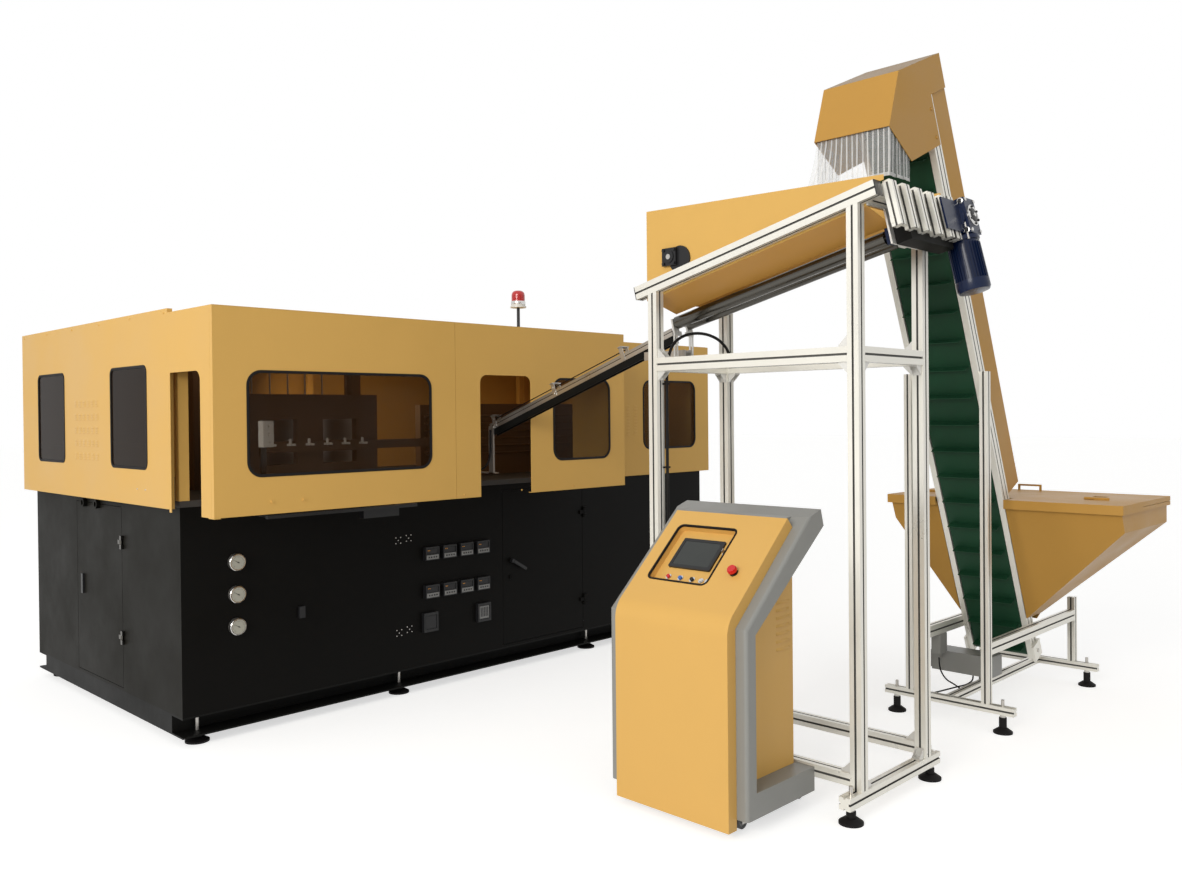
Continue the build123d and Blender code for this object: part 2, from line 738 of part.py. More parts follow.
carriage_length = (cavities - 1) * cavity_pitch + 60.0
carriage_left = station_x - carriage_length / 2
with BuildPart() as transfer_carriage:
    with BuildSketch(Plane.YZ.offset(carriage_left)):
        with Locations((transfer_y + 9.0, transfer_z - 35.0)):
            Rectangle(26.0 - 2 * run_gap, 60.0)
        with Locations((transfer_y + 22.0, transfer_z - 35.0)):
            Rectangle(16.0, 14.0 + 2 * run_gap, mode=Mode.SUBTRACT)
    extrude(amount=carriage_length)
    for i in range(cavities):
        x = carriage_left + 30.0 + i * cavity_pitch
        block((x - 16.0, transfer_y - 44.0, transfer_z - 30.0),
              (x + 16.0, transfer_y - 3.0, transfer_z - 18.0))
        with Locations((x, transfer_y - 40.0, transfer_z - 24.0)):
            Cylinder(11.0, 30.0, mode=Mode.SUBTRACT)
        rod((x, transfer_y - 14.0, transfer_z - 18.0), (x, transfer_y - 14.0, transfer_z + 8.0), 8)
finish(transfer_carriage, "transfer_carriage")

oven_left = 2000.0
oven_right = base_right - 190.0
with BuildPart() as heater_ovens:
    for y0 in (420.0, 900.0):
        block((oven_left, y0, base_top), (oven_right, y0 + 60.0, 1660.0))
        for i in range(6):
            z = 1330.0 + i * 50.0
            rod((oven_left + 20.0, y0 - 22.0, z), (oven_right - 20.0, y0 - 22.0, z), 7)
        for x in (oven_left + 60.0, oven_right - 60.0):
            block((x - 8.0, y0 - 34.0, 1310.0), (x + 8.0, y0, 1600.0))
    block((oven_left, 640.0, base_top), (oven_right, 700.0, 1290.0))
    for i in range(12):
        x = oven_left + 100.0 + i * (oven_right - oven_left - 200.0) / 11
        rod((x, 670.0, 1290.0), (x, 670.0, 1400.0), 12)
finish(heater_ovens, "heater_ovens")

with BuildPart() as valve_block:
    block((262.0, -200.0, 1434.0), (318.0, -150.0, 1564.0))
    for z in (1460.0, 1499.0, 1538.0):
        rod((290.0, -203.0, z), (290.0, -190.0, z), 8, mode=Mode.SUBTRACT)
    block((275.0, -150.0, base_top + joint_gap), (305.0, -130.0, 1500.0))
    block((275.0, -150.0, base_top + joint_gap), (305.0, base_front + 60.0, base_top + 8.0))
    # Air service unit and drip rail under the front guard
    block((115.0, -520.0, 1112.0), (950.0, -495.0, 1128.0))
    for x in (150.0, 900.0):
        block((x, -495.0, 1112.0), (x + 20.0, base_front, 1120.0))
    block((690.0, -420.0, 1062.0), (905.0, -380.0, 1112.0))
finish(valve_block, "valve_block")


# Preform chute: two rails, a guard strip over them, clamps and end brackets

chute_run = chute_low_y - chute_high_y
chute_drop = chute_high_z - chute_low_z
chute_length = math.hypot(chute_run, chute_drop)
chute_side = Plane(origin=(chute_x, chute_high_y, chute_high_z),
                   x_dir=(0, chute_run, -chute_drop), z_dir=(1, 0, 0))
chute_half = chute_gap / 2 + chute_rail_width
# Clamps along the chute: the distance down it, and how deep their plates hang under the rails' tops.
# The first reaches down to the upper bracket.
clamps = ((150.0, 130.0), (872.0, 30.0), (1402.0, 30.0))
clamp_top = 40.0

with BuildPart() as chute:
    for side in (-1, 1):
        with BuildSketch(chute_side.offset(side * chute_gap / 2)):
            with Locations((chute_length / 2, -chute_rail_height / 2)):
                Rectangle(chute_length, chute_rail_height)
        extrude(amount=side * chute_rail_width)
        for place, depth in clamps:
            with BuildSketch(chute_side.offset(side * chute_half)):
                with Locations((place, (clamp_top - depth) / 2)):
                    Rectangle(26.0, clamp_top + depth)
            extrude(amount=side * 5.0)
    for place, depth in clamps:
        with BuildSketch(chute_side):
            with Locations((place, clamp_top - 2.0)):
                Rectangle(26.0, 4.0)
        extrude(amount=chute_half + 14.0, both=True)
    # Guard strip over the necks of the preforms
    with BuildSketch(chute_side):
        with Locations((chute_length / 2 + 20.0, 34.0)):
            Rectangle(chute_length - 160.0, 4.0)
    extrude(amount=9.0, both=True)
    # Upper bracket down to the beam of the stand, lower bracket to the machine's base
    for side in (-1, 1):
        x0 = chute_x + side * (chute_half + 2.5)
        block((x0 - 2.5, stand_far + joint_gap, upper_beam_z - 20.0),
              (x0 + 2.5, stand_far + 34.0, upper_beam_z + 80.0))
        block((x0 - 2.5, stand_far + 30.0, upper_beam_z + 40.0),
              (x0 + 2.5, chute_high_y + 170.0, upper_beam_z + 80.0))
        block((x0 + min(0, side * 30.0), stand_far + joint_gap, upper_beam_z - 20.0),
              (x0 + max(0, side * 30.0), stand_far + 5.0, upper_beam_z + 20.0))
    drop_x = chute_x - chute_half
    block((drop_x - 10.0, chute_low_y - 40.0, base_top + 60.0),
          (drop_x - 0.5, chute_low_y, chute_low_z - 10.0))
    block((drop_x - 10.0, chute_low_y - 40.0, chute_low_z - 44.0),
          (drop_x, chute_low_y, chute_low_z - 10.0))
    block((drop_x - 10.0, chute_low_y - 40.0, base_top + 60.0),
          (drop_x + 30.0, base_front - joint_gap, base_top + 66.0))
    block((drop_x - 10.0, base_front - 6.0, base_top - 40.0),
          (drop_x + 30.0, base_front - joint_gap, base_top + 66.0))
finish(chute, "chute")


# Stand of the orienter: four posts, foot beams, lower and upper beams, sloping rails

cos_slope = math.cos(math.radians(slope))
sin_slope = math.sin(math.radians(slope))
uphill = (0, -cos_slope, sin_slope)
stand_post_x = (stand_left + post / 2, stand_right - post / 2)
stand_post_y = (stand_near + post / 2, stand_far - post / 2)


def rail_under(y):
    """Height of the sloping rails' underside at y."""
    return rail_low_z + (rail_low_y - y) * sin_slope / cos_slope


def on_slope(x, s, m):
    """The point s mm up the slope and m mm square to it, from the rails' lower end."""
    return (x, rail_low_y - s * cos_slope + m * sin_slope,
            rail_low_z + s * sin_slope + m * cos_slope)


def slope_block(x, s, m, mode=Mode.ADD):
    """A box square to the slope, between the pairs x, s and m."""
    with BuildSketch(Plane(origin=on_slope((x[0] + x[1]) / 2, s[0], (m[0] + m[1]) / 2),
                           x_dir=(1, 0, 0), z_dir=uphill)) as outline:
        Rectangle(x[1] - x[0], m[1] - m[0])
    extrude(outline.sketch, amount=s[1] - s[0], mode=mode)


plate_s = 1184.0
cross_rail_s = (plate_s + 8.0 + joint_gap, plate_s + 48.0 + joint_gap)
drive_wall_s = rail_length - 0.7
inner_span = (stand_left + post + joint_gap, stand_right - post - joint_gap)

with BuildPart() as stand_frame:
    for x in stand_post_x:
        for y in stand_post_y:
            top = rail_under(y - post / 2)
            slotted_bar((x, y, foot_beam_top + joint_gap), (0, 0, 1), (1, 0, 0),
                        top - foot_beam_top, post, post)
    with BuildSketch(Plane.YZ.offset(stand_left - 1)):
        with BuildLine():
            Polyline(
                (stand_near - 50.0, rail_under(stand_near - 50.0) - joint_gap),
                (stand_far + 50.0, rail_under(stand_far + 50.0) - joint_gap),
                (stand_far + 50.0, 2500.0),
                (stand_near - 50.0, 2500.0),
                close=True,
            )
        make_face()
    extrude(amount=stand_right - stand_left + 2, mode=Mode.SUBTRACT)
    for y in stand_post_y:
        slotted_bar((stand_left - foot_beam_overhang, y, foot_beam_bottom + post / 2), (1, 0, 0),
                    (0, 1, 0), stand_right - stand_left + 2 * foot_beam_overhang, post, post)
        slotted_bar((inner_span[0], y, upper_beam_z), (1, 0, 0), (0, 1, 0),
                    inner_span[1] - inner_span[0], post, beam_height)
    for x in stand_post_x:
        for z, high in ((lower_beam_z, post), (upper_beam_z, beam_height)):
            slotted_bar((x, stand_near + post + joint_gap, z), (0, 1, 0), (1, 0, 0),
                        stand_far - stand_near - 2 * post - 2 * joint_gap, post, high)
        slotted_bar(on_slope(x, 4.0, rail_deep / 2), uphill, (1, 0, 0), rail_length - 8.0,
                    rail_wide, rail_deep)
        for s in (0.0, rail_length - 3.7):
            slope_block((x - rail_wide / 2, x + rail_wide / 2), (s, s + 3.7), (0, rail_deep))
    # Cross rail, drive wall of side-by-side bars and the cap strip at the upper end
    slotted_bar(on_slope(inner_span[0], sum(cross_rail_s) / 2, rail_deep / 2), (1, 0, 0), uphill,
                inner_span[1] - inner_span[0], 40.0, rail_deep)
    for i in range(6):
        x = stand_left + 187.0 + i * 72.0
        slotted_bar(on_slope(x, drive_wall_s + 21.0, -125.0), (0, sin_slope, cos_slope),
                    (1, 0, 0), 185.0, 71.0, 40.0)
    slope_block((inner_span[0] + 5.0, inner_span[1] - 5.0),
                (cross_rail_s[1] + joint_gap, drive_wall_s + 0.7), (10.0, 50.0))
    for x, y in stand_foot_spots:
        rod((x, y, foot_beam_bottom - 1), (x, y, foot_beam_top + 1), 8.4, mode=Mode.SUBTRACT)
finish(stand_frame, "stand_frame")


def gusset(x, y, z, run, rise, length=42.0, wide=36.0):
    """A corner bracket at (x, y, z), its legs along the unit step run and up or down."""
    plane = Plane(origin=(x, y, z), x_dir=(*run, 0), z_dir=(run[1], -run[0], 0))
    with BuildSketch(plane) as outline:
        with BuildLine():
            Polyline((0, 0), (length, 0), (length, rise * 5), (rise * rise * 5, rise * length),
                     (0, rise * length), close=True)
        make_face()
    extrude(outline.sketch, amount=wide / 2, both=True)
    with BuildSketch(plane) as outline:
        with BuildLine():
            Polyline((5, rise * 5), (length + 5, rise * 5), (5, rise * (length + 5)), close=True)
        make_face()
    extrude(outline.sketch, amount=wide / 2 - 4, both=True, mode=Mode.SUBTRACT)


with BuildPart() as corner_brackets:
    for y, run in ((stand_near + post, 1), (stand_far - post, -1)):
        for x in stand_post_x:
            for z, rise in ((upper_beam_z - beam_height / 2, -1), (upper_beam_z + beam_height / 2, 1)):
                gusset(x, y + run * 2 * joint_gap, z + rise * joint_gap, (0, run), rise)
            gusset(x, y + run * 2 * joint_gap, lower_beam_z + post / 2 + joint_gap, (0, run), 1)
    for x, run in ((stand_left + post, 1), (stand_right - post, -1)):
        for y in stand_post_y:
            gusset(x + run * 2 * joint_gap, y, upper_beam_z - beam_height / 2 - joint_gap,
                   (run, 0), -1)
            gusset(x + run * 2 * joint_gap, y, foot_beam_top + joint_gap, (run, 0), 1)
finish(corner_brackets, "corner_brackets")

# Trough: side sheets, sloping floor sheets down to the rollers, and end walls

roller_x = (stand_left + stand_right) / 2
roller_m = ((roller_low_y - rail_low_y) * sin_slope + (roller_low_z - rail_low_z) * cos_slope)
roller_s = ((rail_low_y - roller_low_y) * cos_slope + (roller_low_z - rail_low_z) * sin_slope)
wall_x = (inner_span[0], inner_span[1])
trough_floor_m = (-10.0, roller_m + roller_radius + 4.0)
floor_edge = roller_spacing / 2 + 21.0

with BuildPart() as trough:
    for x, side in ((wall_x[0], 1), (wall_x[1], -1)):
        floor_far = on_slope(0, plate_s - joint_gap, trough_floor_m[0])
        floor_near = on_slope(0, 0, trough_floor_m[0])
        with BuildSketch(Plane.YZ.offset(x)):
            with BuildLine():
                Polyline(
                    (trough_low_y, trough_top_low),
                    (trough_high_y, trough_top_high),
                    (trough_high_y, rail_under(trough_high_y) + rail_deep / cos_slope + joint_gap),
                    on_slope(0, plate_s - joint_gap, rail_deep + joint_gap)[1:],
                    floor_far[1:],
                    (trough_low_y, floor_near[2] + (floor_near[1] - trough_low_y) * sin_slope / cos_slope),
                    close=True,
                )
            make_face()
        extrude(amount=side * sheet)
        edge_x = roller_x - side * floor_edge
        with BuildSketch(Plane(origin=on_slope(0, 40.0, 0), x_dir=(1, 0, 0), z_dir=uphill)):
            with BuildLine():
                Polyline(
                    (x, trough_floor_m[0]),
                    (edge_x, trough_floor_m[1]),
                    (edge_x, trough_floor_m[1] + sheet),
                    (x, trough_floor_m[0] + sheet),
                    close=True,
                )
            make_face()
        extrude(amount=plate_s - 40.0 - joint_gap)
    # Lower end wall, with the gate over the rollers
    gate_z = rail_under(trough_low_y) + 46.0
    floor_z = rail_under(trough_low_y) + trough_floor_m[0]
    with BuildSketch(Plane.XZ.offset(-trough_low_y)):
        with Locations((roller_x, (trough_top_low + floor_z) / 2)):
            Rectangle(wall_x[1] - wall_x[0], trough_top_low - floor_z)
        with Locations((roller_x, (gate_z + floor_z) / 2 - 1)):
            Rectangle(130.0, gate_z - floor_z + 2, mode=Mode.SUBTRACT)
    extrude(amount=sheet)
    # Upper end wall in front of the cross rail
    slope_block((wall_x[0], wall_x[1]), (plate_s - sheet - joint_gap, plate_s - joint_gap),
                (trough_floor_m[0], rail_deep + 34.0))
    slope_block((roller_x - roller_spacing, roller_x + roller_spacing),
                (plate_s - sheet - joint_gap, plate_s - joint_gap),
                (roller_m + roller_radius + 10.0, trough_floor_m[0] + 1.0))
    for side_x in wall_x:
        rod((side_x - 5, kicker_y, kicker_z), (side_x + 5, kicker_y, kicker_z),
            kicker_shaft_radius + 2.0, mode=Mode.SUBTRACT)
finish(trough, "trough")


def roller(x):
    rod(on_slope(x, roller_s, roller_m), on_slope(x, roller_s + roller_length, roller_m),
        roller_radius)
    rod(on_slope(x, roller_s - 26.0, roller_m), on_slope(x, plate_s + 44.0, roller_m),
        roller_shaft_radius)
    rod(on_slope(x, plate_s + 18.0, roller_m), on_slope(x, plate_s + 36.0, roller_m), 22.0)


roller_left_x = roller_x - roller_spacing / 2
roller_right_x = roller_x + roller_spacing / 2
with BuildPart() as roller_left:
    roller(roller_left_x)
finish(roller_left, "roller_left")

with BuildPart() as roller_right:
    roller(roller_right_x)
finish(roller_right, "roller_right")

bearing_x = (stand_left + 32.0, stand_right - 32.0)
# Bearings of the rollers: plates at the lower end, blocks, plate and cover at the upper end
cover_m = (roller_m - 50.0, -4.0)
cover_s = (plate_s + 8.0 + joint_gap, drive_wall_s + 0.7)
with BuildPart() as orienter_bearings:
    slope_block((inner_span[0] + 1.0, inner_span[1] - 1.0), (plate_s, plate_s + 8.0),
                (-8.0, rail_deep - 1.0))
    slope_block((roller_x - 110.0, roller_x + 110.0), (plate_s, plate_s + 8.0),
                (roller_m - 48.0, -6.0))
    for x in (roller_left_x, roller_right_x):
        slope_block((x - 26.0, x + 26.0), (plate_s - 34.0, plate_s), (roller_m - 34.0, roller_m + 32.0))
        slope_block((x - 26.0, x + 26.0), (roller_s - 16.0, roller_s - 6.0),
                    (roller_m - 60.0, roller_m + 20.0))
    slope_block((roller_left_x + 12.0, roller_right_x - 12.0), (roller_s - 17.0, roller_s - 5.0),
                (roller_m - 40.0, roller_m + 40.0), mode=Mode.SUBTRACT)
    # Legs of the lower bearing plates, down to the beam
    for x in (roller_left_x - 14.0, roller_right_x + 14.0):
        for dx in (-10.0, 10.0):
            top_y = on_slope(x, roller_s - 11.0, roller_m - 50.0)[1]
            rod((x + dx, top_y, upper_beam_z + beam_height / 2 + joint_gap),
                (x + dx, top_y, on_slope(x, roller_s, roller_m - 40.0)[2]), 5)
        block((x - 20.0, stand_far - post + 2.0, upper_beam_z + beam_height / 2 + joint_gap),
              (x + 20.0, stand_far + 38.0, upper_beam_z + beam_height / 2 + 6.0))
    # Belt cover under the cross rail
    slope_block((roller_x - 80.0, stand_right - 4.0), cover_s, cover_m)
    slope_block((roller_x - 77.0, stand_right - 7.0), (cover_s[0] - 1, cover_s[1] - 3.0),
                (cover_m[0] + 3.0, cover_m[1] - 3.0), mode=Mode.SUBTRACT)
    for x in (roller_left_x, roller_right_x):
        rod(on_slope(x, plate_s - 40.0, roller_m), on_slope(x, plate_s + 9.0, roller_m),
            roller_shaft_radius + pin_gap, mode=Mode.SUBTRACT)
        rod(on_slope(x, roller_s - 20.0, roller_m), on_slope(x, roller_s, roller_m),
            roller_shaft_radius + pin_gap, mode=Mode.SUBTRACT)
    # Flange bearings of the kicker wheel, with the round cover behind the left one
    for x, side in ((bearing_x[0], 1), (bearing_x[1], -1)):
        block((min(x, x + side * 11.7), kicker_y - 40.0, kicker_z - 40.0),
              (max(x, x + side * 11.7), kicker_y + 40.0, kicker_z + 40.0))
        rod((x - side * 4.0, kicker_y, kicker_z), (x, kicker_y, kicker_z), 28)
        for dy in (-30.0, 30.0):
            for dz in (-30.0, 30.0):
                rod((x - side * 6.0, kicker_y + dy, kicker_z + dz), (x, kicker_y + dy, kicker_z + dz), 7)
    with BuildSketch(Plane.YZ.offset(bearing_x[0] + 11.7)):
        with Locations((kicker_y - 52.0, kicker_z - 14.0)):
            Circle(60.0)
        with BuildLine():
            Polyline(
                (kicker_y + 100.0, rail_under(kicker_y + 100.0) + rail_deep / cos_slope + 1.0),
                (kicker_y - 200.0, rail_under(kicker_y - 200.0) + rail_deep / cos_slope + 1.0),
                (kicker_y - 200.0, kicker_z - 300.0),
                (kicker_y + 100.0, kicker_z - 300.0),
                close=True,
            )
        make_face(mode=Mode.SUBTRACT)
    extrude(amount=6.0)
    rod((bearing_x[0] - 8.0, kicker_y, kicker_z), (bearing_x[1] + 8.0, kicker_y, kicker_z),
        kicker_shaft_radius + pin_gap, mode=Mode.SUBTRACT)
finish(orienter_bearings, "orienter_bearings")

# Kicker wheel over the rollers, with its bearings and round cover
kicker_radius = 128.0
with BuildPart() as kicker_wheel:
    rod((stand_left + 26.0, kicker_y, kicker_z), (stand_right - 26.0, kicker_y, kicker_z),
        kicker_shaft_radius)
    rod((roller_x - 30.0, kicker_y, kicker_z), (roller_x + 30.0, kicker_y, kicker_z), 34)
    for i in range(6):
        turn = math.radians(60 * i + 15)
        spoke = (0, math.cos(turn), math.sin(turn))
        with BuildSketch(Plane(origin=(roller_x, kicker_y, kicker_z), x_dir=(1, 0, 0), z_dir=spoke)):
            Rectangle(50.0, 8.0)
        extrude(amount=kicker_radius)
finish(kicker_wheel, "kicker_wheel")


# Worm gearbox and motor that drive the rollers, outside the right rail
gear_x = (stand_right + 30.0, stand_right + 130.0)
gear_s = (plate_s + 18.0, plate_s + 148.0)
gear_middle = (gear_s[0] + gear_s[1]) / 2
with BuildPart() as drive_gearmotor:
    slope_block(gear_x, gear_s, (-100.0, 55.0))
    for x0, x1 in ((gear_x[0] - 12.0, gear_x[0]), (gear_x[1], gear_x[1] + 12.0)):
        with BuildSketch(Plane.YZ.offset(x0)):
            with Locations(on_slope(0, gear_middle, -22.0)[1:]):
                Circle(58.0)
        extrude(amount=x1 - x0)
    for m0, m1, radius in ((-118.0, -100.0, 62.0), (-305.0, -118.0, 60.0), (-318.0, -305.0, 54.0)):
        rod(on_slope(sum(gear_x) / 2, gear_middle, m0), on_slope(sum(gear_x) / 2, gear_middle, m1),
            radius)
    slope_block((sum(gear_x) / 2 + 54.0, sum(gear_x) / 2 + 84.0), (gear_middle - 34.0, gear_middle + 34.0),
                (-250.0, -160.0))
    # Bracket from the drive wall to the gearbox
    slope_block((stand_right - 130.0, gear_x[0] + 1.0), (drive_wall_s + 41.3, drive_wall_s + 49.3),
                (-95.0, 40.0))
    slope_block((gear_x[0] - 20.0, gear_x[0] + 1.0), (gear_s[0] + 30.0, drive_wall_s + 49.3),
                (-95.0, 40.0))
finish(drive_gearmotor, "drive_gearmotor")


# Elevator: two inclined rails with a cleated belt, side guards, hood and strip curtain

cos_lift = math.cos(math.radians(lift_angle))
sin_lift = math.sin(math.radians(lift_angle))
upward = (-cos_lift, 0, sin_lift)
lift_half = lift_width / 2
drum_n = belt_front + belt_thickness + joint_gap + drum_radius
belt_inner = drum_radius + joint_gap
belt_outer = belt_inner + belt_thickness
tail_u = lift_low + 40.0
head_u = lift_high - 45.0


def lift_side(y):
    """Side plane of the conveyor: x up the belt, y square to it and outward."""
    return Plane(origin=(lift_x, y, lift_z), x_dir=upward, z_dir=(0, 1, 0))


def on_lift(u, n, y=lift_y):
    return (lift_x - u * cos_lift + n * sin_lift, y, lift_z + u * sin_lift + n * cos_lift)


def lift_block(u, n, y, mode=Mode.ADD):
    with BuildSketch(lift_side(y[0])) as outline:
        with Locations(((u[0] + u[1]) / 2, (n[0] + n[1]) / 2)):
            Rectangle(u[1] - u[0], n[1] - n[0])
    extrude(outline.sketch, amount=y[1] - y[0], mode=mode)


post_small = lift_foot_bar
post_y = (lift_y - lift_half - post_small / 2 - joint_gap, lift_y + lift_half + post_small / 2 + joint_gap)

with BuildPart() as elevator_frame:
    for y0 in (lift_y - lift_half, lift_y + lift_half - lift_rail_wide):
        lift_block((lift_low, lift_high), (0, lift_rail_deep), (y0, y0 + lift_rail_wide))
        # Grooves along the outer face of each rail
        groove_y = y0 if y0 < lift_y else y0 + lift_rail_wide - 5.0
        for n in (20.0, 55.0):
            lift_block((lift_low, lift_high), (n - 4.0, n + 4.0), (groove_y, groove_y + 5.0),
                       mode=Mode.SUBTRACT)
    for u in (-1100.0, -350.0, 400.0, 1150.0):
        rod(on_lift(u, drum_n, lift_y - lift_half + 10.0), on_lift(u, drum_n, lift_y + lift_half - 10.0), 12)
    lift_block((tail_u + 60.0, head_u - 60.0), (drum_n + belt_inner - 4.4, drum_n + belt_inner - 1.4),
               (lift_y - lift_half + 10.0, lift_y + lift_half - 10.0))
    # Bearing plates at the lower end; the upper shaft turns in the rails, under the hood
    for y0, y1 in ((lift_y - lift_half - 14.0, lift_y - lift_half),
                   (lift_y + lift_half, lift_y + lift_half + 14.0)):
        lift_block((tail_u - 46.0, tail_u + 46.0), (drum_n - 46.0, drum_n + 46.0), (y0, y1))
    for u in (tail_u, head_u):
        rod(on_lift(u, drum_n, lift_y - lift_half - 20.0), on_lift(u, drum_n, lift_y + lift_half + 20.0),
            drum_shaft_radius + pin_gap, mode=Mode.SUBTRACT)
    # Foot bars, posts and the beams between them
    for x, top in ((lift_front_x, lift_post_top), (lift_rear_x, lift_rear_post_top)):
        slotted_bar((x, lift_y - lift_bar_half, lift_bar_bottom + post_small / 2), (0, 1, 0), (1, 0, 0),
                    2 * lift_bar_half, post_small, post_small)
        for y in post_y:
            slotted_bar((x, y, lift_bar_top + joint_gap), (0, 0, 1), (1, 0, 0), top - lift_bar_top,
                        post_small, post_small)
    beam_x = (lift_front_x + post_small / 2 + joint_gap, lift_rear_x - post_small / 2 - joint_gap)
    for y in post_y:
        slotted_bar((beam_x[0], y, lift_beam_z), (1, 0, 0), (0, 1, 0), beam_x[1] - beam_x[0],
                    post_small, beam_height)
    slotted_bar((beam_x[0], lift_y, lift_bar_bottom + post_small / 2), (1, 0, 0), (0, 1, 0),
                beam_x[1] - beam_x[0], post_small, post_small)
    for x, y in lift_foot_spots:
        rod((x, y, lift_bar_bottom - 1), (x, y, lift_bar_top + 1), 8.4, mode=Mode.SUBTRACT)
finish(elevator_frame, "elevator_frame")

guard_low = -620.0
hood_low = 1215.0
hood_notch = 1446.0
hood_high = 1605.0
hood_outline = [
    (hood_high, guard_reach),
    (hood_high, -210.0),
    (1405.0, -392.5),
    (hood_low, -253.0),
    (hood_low, 56.0),
    (hood_notch, 56.0),
    (hood_notch, guard_reach),
]
with BuildPart() as elevator_guards:
    for side in (-1, 1):
        outer = lift_y + side * lift_half
        faces = sorted((outer, outer - side * sheet))
        lift_block((guard_low, hood_notch - 2.0), (lift_rail_deep + joint_gap, guard_reach), faces)
        lip = sorted((outer, outer - side * 22.0))
        lift_block((guard_low, hood_notch - 2.0), (guard_reach - sheet, guard_reach), lip)
        lift_block((guard_low, hood_notch - 2.0),
                   (lift_rail_deep + joint_gap, lift_rail_deep + joint_gap + sheet), lip)
finish(elevator_guards, "elevator_guards")

hood_half = lift_half + 6.0
with BuildPart() as elevator_hood:
    for y0 in (lift_y - hood_half, lift_y + hood_half - sheet):
        with BuildSketch(lift_side(y0)):
            with BuildLine():
                Polyline(*hood_outline, close=True)
            make_face()
        extrude(amount=sheet)
    for (u0, n0), (u1, n1) in zip(hood_outline[0:2], hood_outline[1:3]):
        run = math.hypot(u1 - u0, n1 - n0)
        inward = ((n1 - n0) / run * sheet, -(u1 - u0) / run * sheet)
        with BuildSketch(lift_side(lift_y - hood_half)):
            with BuildLine():
                Polyline((u0, n0), (u1, n1), (u1 + inward[0], n1 + inward[1]),
                         (u0 + inward[0], n0 + inward[1]), close=True)
            make_face()
        extrude(amount=2 * hood_half)
    lift_block((hood_notch, hood_high), (guard_reach - sheet, guard_reach),
               (lift_y - hood_half, lift_y + hood_half))
    for side in (-1, 1):
        for u in (hood_low + 40.0, hood_notch - 60.0):
            rod(on_lift(u, 30.0, lift_y + side * (lift_half + joint_gap)),
                on_lift(u, 30.0, lift_y + side * (hood_half + 4.0)), 8)
finish(elevator_hood, "elevator_hood")

mouth_high = on_lift(1405.0, -392.5)
mouth_low = on_lift(hood_low, -253.0)
strip_wide = 24.0
strip_end = 2600.0
with BuildPart() as strip_curtain:
    count = 14
    for i in range(count):
        y = lift_y + (i - (count - 1) / 2) * (strip_wide + 1.5)
        block((mouth_high[0] + 9.6, y - strip_wide / 2, strip_end),
              (mouth_high[0] + 11.1, y + strip_wide / 2, mouth_high[2] + 18.0))
    side_count = 6
    for side in (-1, 1):
        face = lift_y + side * (hood_half - sheet - joint_gap)
        for i in range(side_count):
            x = mouth_high[0] + 34.0 + i * (strip_wide + 6.0)
            top = mouth_high[2] + (mouth_low[2] - mouth_high[2]) * (x - mouth_high[0]) / (
                mouth_low[0] - mouth_high[0])
            block((x - strip_wide / 2, min(face, face - side * 1.5), strip_end),
                  (x + strip_wide / 2, max(face, face - side * 1.5), top + 22.0))
finish(strip_curtain, "strip_curtain")

with BuildPart() as elevator_belt:
    with BuildSketch(lift_side(lift_y - belt_width / 2)):
        with Locations(((tail_u + head_u) / 2, drum_n)):
            SlotCenterToCenter(head_u - tail_u, 2 * belt_outer)
            SlotCenterToCenter(head_u - tail_u, 2 * belt_inner, mode=Mode.SUBTRACT)
    extrude(amount=belt_width)
    cleat_count = int((head_u - tail_u - 60.0) / cleat_pitch)
    for i in range(cleat_count + 1):
        u = tail_u + 30.0 + i * cleat_pitch
        for n0, n1 in ((drum_n + belt_outer - 1.0, drum_n + belt_outer + cleat_height),
                       (drum_n - belt_outer - cleat_height, drum_n - belt_outer + 1.0)):
            lift_block((u, u + cleat_thickness), (n0, n1),
                       (lift_y - belt_width / 2 + 12.0, lift_y + belt_width / 2 - 12.0))
finish(elevator_belt, "elevator_belt")


def drum(u):
    rod(on_lift(u, drum_n, lift_y - belt_width / 2), on_lift(u, drum_n, lift_y + belt_width / 2),
        drum_radius)


with BuildPart() as head_roller:
    drum(head_u)
    rod(on_lift(head_u, drum_n, lift_y - lift_half), on_lift(head_u, drum_n, lift_y + lift_half),
        drum_shaft_radius)
finish(head_roller, "head_roller")

with BuildPart() as tail_roller:
    drum(tail_u)
    tail_reach = lift_half + 18.0
    rod(on_lift(tail_u, drum_n, lift_y - tail_reach), on_lift(tail_u, drum_n, lift_y + tail_reach),
        drum_shaft_radius)
finish(tail_roller, "tail_roller")

# Drive and sensor box low on the conveyor's frame
drive_left = lift_front_x + 385.0
drive_length = 140.0
drive_bottom = 152.0
sensor_x = lift_front_x + 325.0
sensor_bottom = 262.0
with BuildPart() as elevator_drive:
    block((drive_left, lift_y - 60.0, drive_bottom),
          (drive_left + drive_length, lift_y + lift_half + 92.0, drive_bottom + 110.0))
    block((drive_left + 12.0, lift_y + lift_half + 92.0, drive_bottom + 8.0),
          (drive_left + drive_length - 12.0, lift_y + lift_half + 104.0, drive_bottom + 102.0))
    for x in (drive_left + 20.0, drive_left + drive_length - 30.0):
        block((x, lift_y - 16.0, lift_bar_top + joint_gap),
              (x + 20.0, lift_y + 16.0, drive_bottom + 0.5))
    # Sensor box under the far beam, with its red window
    block((sensor_x - 40.0, post_y[1] - 26.0, sensor_bottom),
          (sensor_x + 40.0, post_y[1] + 26.0, lift_beam_z - beam_height / 2 - joint_gap))
    block((sensor_x - 18.0, post_y[1] - 12.0, sensor_bottom - 22.0),
          (sensor_x + 12.0, post_y[1] + 12.0, sensor_bottom + 0.5))
finish(elevator_drive, "elevator_drive")


# Hopper with its rim, front deck and lid

